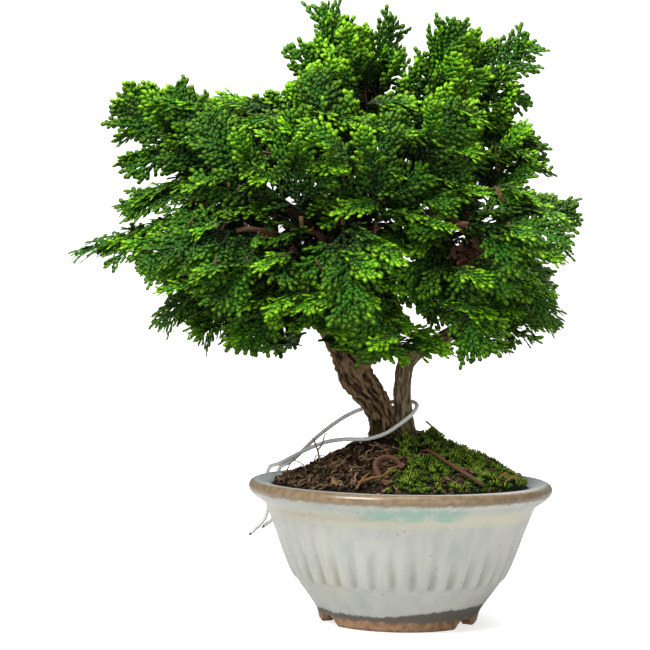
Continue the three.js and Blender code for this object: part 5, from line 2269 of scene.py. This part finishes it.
@dataclass
class Studio:
    """The pale floor, the soft lights and the camera."""

    site: Site
    distance: float = 738.0
    height: float = 125.0
    aside: float = -29.4
    pitch: float = 1.07
    roll: float = 0.9
    focal_px: float = 1950.0
    image_px: float = 650.0
    floor_flat: float = 1500.0
    floor_bend: float = 600.0
    floor_top: float = 900.0
    floor_drop: float = 0.15
    world_light: float = 0.08
    target: Point = (-20, 0, 120)
    lights: tuple[tuple[str, Point, float, float], ...] = (
        ("key", (-420, -480, 760), 0.4, 8.8),
        ("fill", (420, -700, 300), 0.7, 1.35),
        ("top", (0, 60, 900), 0.6, 5.0),
        ("back", (260, 620, 620), 0.6, 1.4),
    )

    def add_camera(self) -> None:
        """Makes the camera."""
        camera = bpy.data.cameras.new("camera")
        camera.sensor_width = 36.0
        camera.lens = self.focal_px / self.image_px * camera.sensor_width
        camera.clip_start, camera.clip_end = 0.01, 20.0
        level = Matrix.Rotation(math.radians(90 - self.pitch), 4, "X")
        rolled = Matrix.Rotation(math.radians(self.roll), 4, "Z")
        place = (self.aside, -self.distance, self.height)
        bpy.context.scene.camera = self._hold(camera, place, level @ rolled)

    def _hold(self, data: bpy.types.ID, place: Point, turn: Matrix) -> Piece:
        """Sets a camera or a light up.

        Args:
            data: The camera or the light.
            place: Where it stands.
            turn: How it is turned.

        Returns:
            Its object.
        """
        holder = bpy.data.objects.new(data.name, data)
        holder.matrix_world = Matrix.Translation(self.site.metres(np.array(place, float))) @ turn
        bpy.context.scene.collection.objects.link(holder)
        return holder

    def add_floor(self) -> None:
        """Makes the round floor that sweeps up into a pale wall."""
        flat, bend = self.floor_flat, self.floor_bend
        arc = [(flat + bend * math.sin(a), bend * (1 - math.cos(a))) for a in np.linspace(0, math.pi / 2, 14)]
        outline = [(1.0, 0.0), (300.0, 0.0), (flat * 0.6, 0.0), *arc, (flat + bend, self.floor_top)]
        draft = MeshDraft()
        rows = [[(*polar(r, a), z - self.floor_drop) for a in angles_round(96)] for r, z in outline]
        draft.grid(np.array(rows))
        paint = Paint("pale_floor", (0.6, 0.6, 0.6, 1))
        far = paint.vector("LENGTH", {0: paint.place(self.site)})["Value"]
        far = paint.maths("MULTIPLY_ADD", paint.between(far, 0.03, 0.07), 0.65, 0.6)
        seen = paint.node("ShaderNodeLightPath").outputs["Is Camera Ray"]
        inputs = {
            "Base Color": paint.colour,
            "Roughness": 0.9,
            "Specular IOR Level": 0.1,
            "Emission Color": (1, 1, 1, 1),
            "Emission Strength": paint.maths("MULTIPLY_ADD", seen, far, 0.1),
        }
        paint.fill(paint.shader, inputs)
        draft.build("floor", self.site, paint.material)

    def add_lights(self) -> None:
        """Makes the soft lights and the pale surroundings."""
        world = bpy.data.worlds.new("surroundings")
        world.use_nodes = True
        world.node_tree.nodes["Background"].inputs[0].default_value = (1, 1, 1, 1)
        world.node_tree.nodes["Background"].inputs[1].default_value = self.world_light
        bpy.context.scene.world = world
        for name, place, size, power in self.lights:
            light = bpy.data.lights.new(name, "AREA")
            light.shape, light.size, light.energy = "DISK", size, power
            aim = Vector(np.array(self.target) - place).to_track_quat("-Z", "Y")
            self._hold(light, place, aim.to_matrix().to_4x4())

    def build(self) -> None:
        """Makes the floor and the lights, and keeps whites white."""
        self.add_floor()
        self.add_lights()
        bpy.context.scene.view_settings.view_transform = "Standard"


# ---- the whole


def dress_screen(node: Piece, finish: PlainFinish) -> None:
    """Gives the drain screen's own node its material."""
    node.data.materials.clear()
    node.data.materials.append(finish.material())
    LOG.info("drain_screen: kept, with a material")


def main() -> None:
    """Builds the bonsai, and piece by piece."""
    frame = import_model()
    site = Site.from_frame(frame)
    studio = Studio(site)
    studio.add_camera()
    scatter = Scatter()
    grey_bark = BarkFinish("leader_bark", srgb(152, 124, 88), srgb(24, 16, 9))
    smooth_bark = BarkFinish("second_bark", srgb(196, 178, 140), srgb(64, 52, 34))
    limb_bark = BarkFinish("limb_bark", srgb(112, 84, 60), srgb(62, 38, 26))
    root_bark = BarkFinish("root_bark", srgb(118, 80, 64), srgb(58, 34, 24), mossy=0.0)
    dry_bark = BarkFinish("dry_bark", srgb(150, 116, 72), srgb(74, 48, 30), mossy=0.0)
    soil_finish = EarthFinish("dark_soil", srgb(13, 9, 6), srgb(66, 49, 32))
    twig_finish = EarthFinish("dead_litter", srgb(34, 20, 13), srgb(196, 160, 124), 0.0012)
    crumb_finish = EarthFinish("soil_crumb", srgb(20, 14, 9), srgb(110, 84, 56), 0.001)
    coat = PlainFinish("wire_coat", srgb(246, 246, 242), srgb(206, 206, 198), 0.35)
    core = PlainFinish("cut_core", srgb(70, 70, 70), srgb(40, 40, 42), 0.45, 0.6)
    screen = PlainFinish("screen_plastic", srgb(38, 44, 46), srgb(60, 66, 66), 0.55)

    Pot(site).build(GlazeFinish())
    mound = Mound(site)
    mound.build(soil_finish)
    moss = Moss(mound, scatter)
    list(moss.build(MossFinish()))
    list(Litter(mound, moss, scatter).build(twig_finish, crumb_finish))
    wood = Wood(site)
    list(Foliage(site, wood, scatter).build(ScaleLeafFinish()))
    list(wood.build(grey_bark, smooth_bark, limb_bark))
    list(SurfaceRoots(site).build(root_bark, dry_bark))
    list(TieWire(site).build(coat, core))
    dress_screen(frame["nodes"]["drain_screen"], screen)
    studio.build()


if __name__ == "__main__":
    logging.basicConfig(level=logging.INFO, format="%(message)s")
    main()
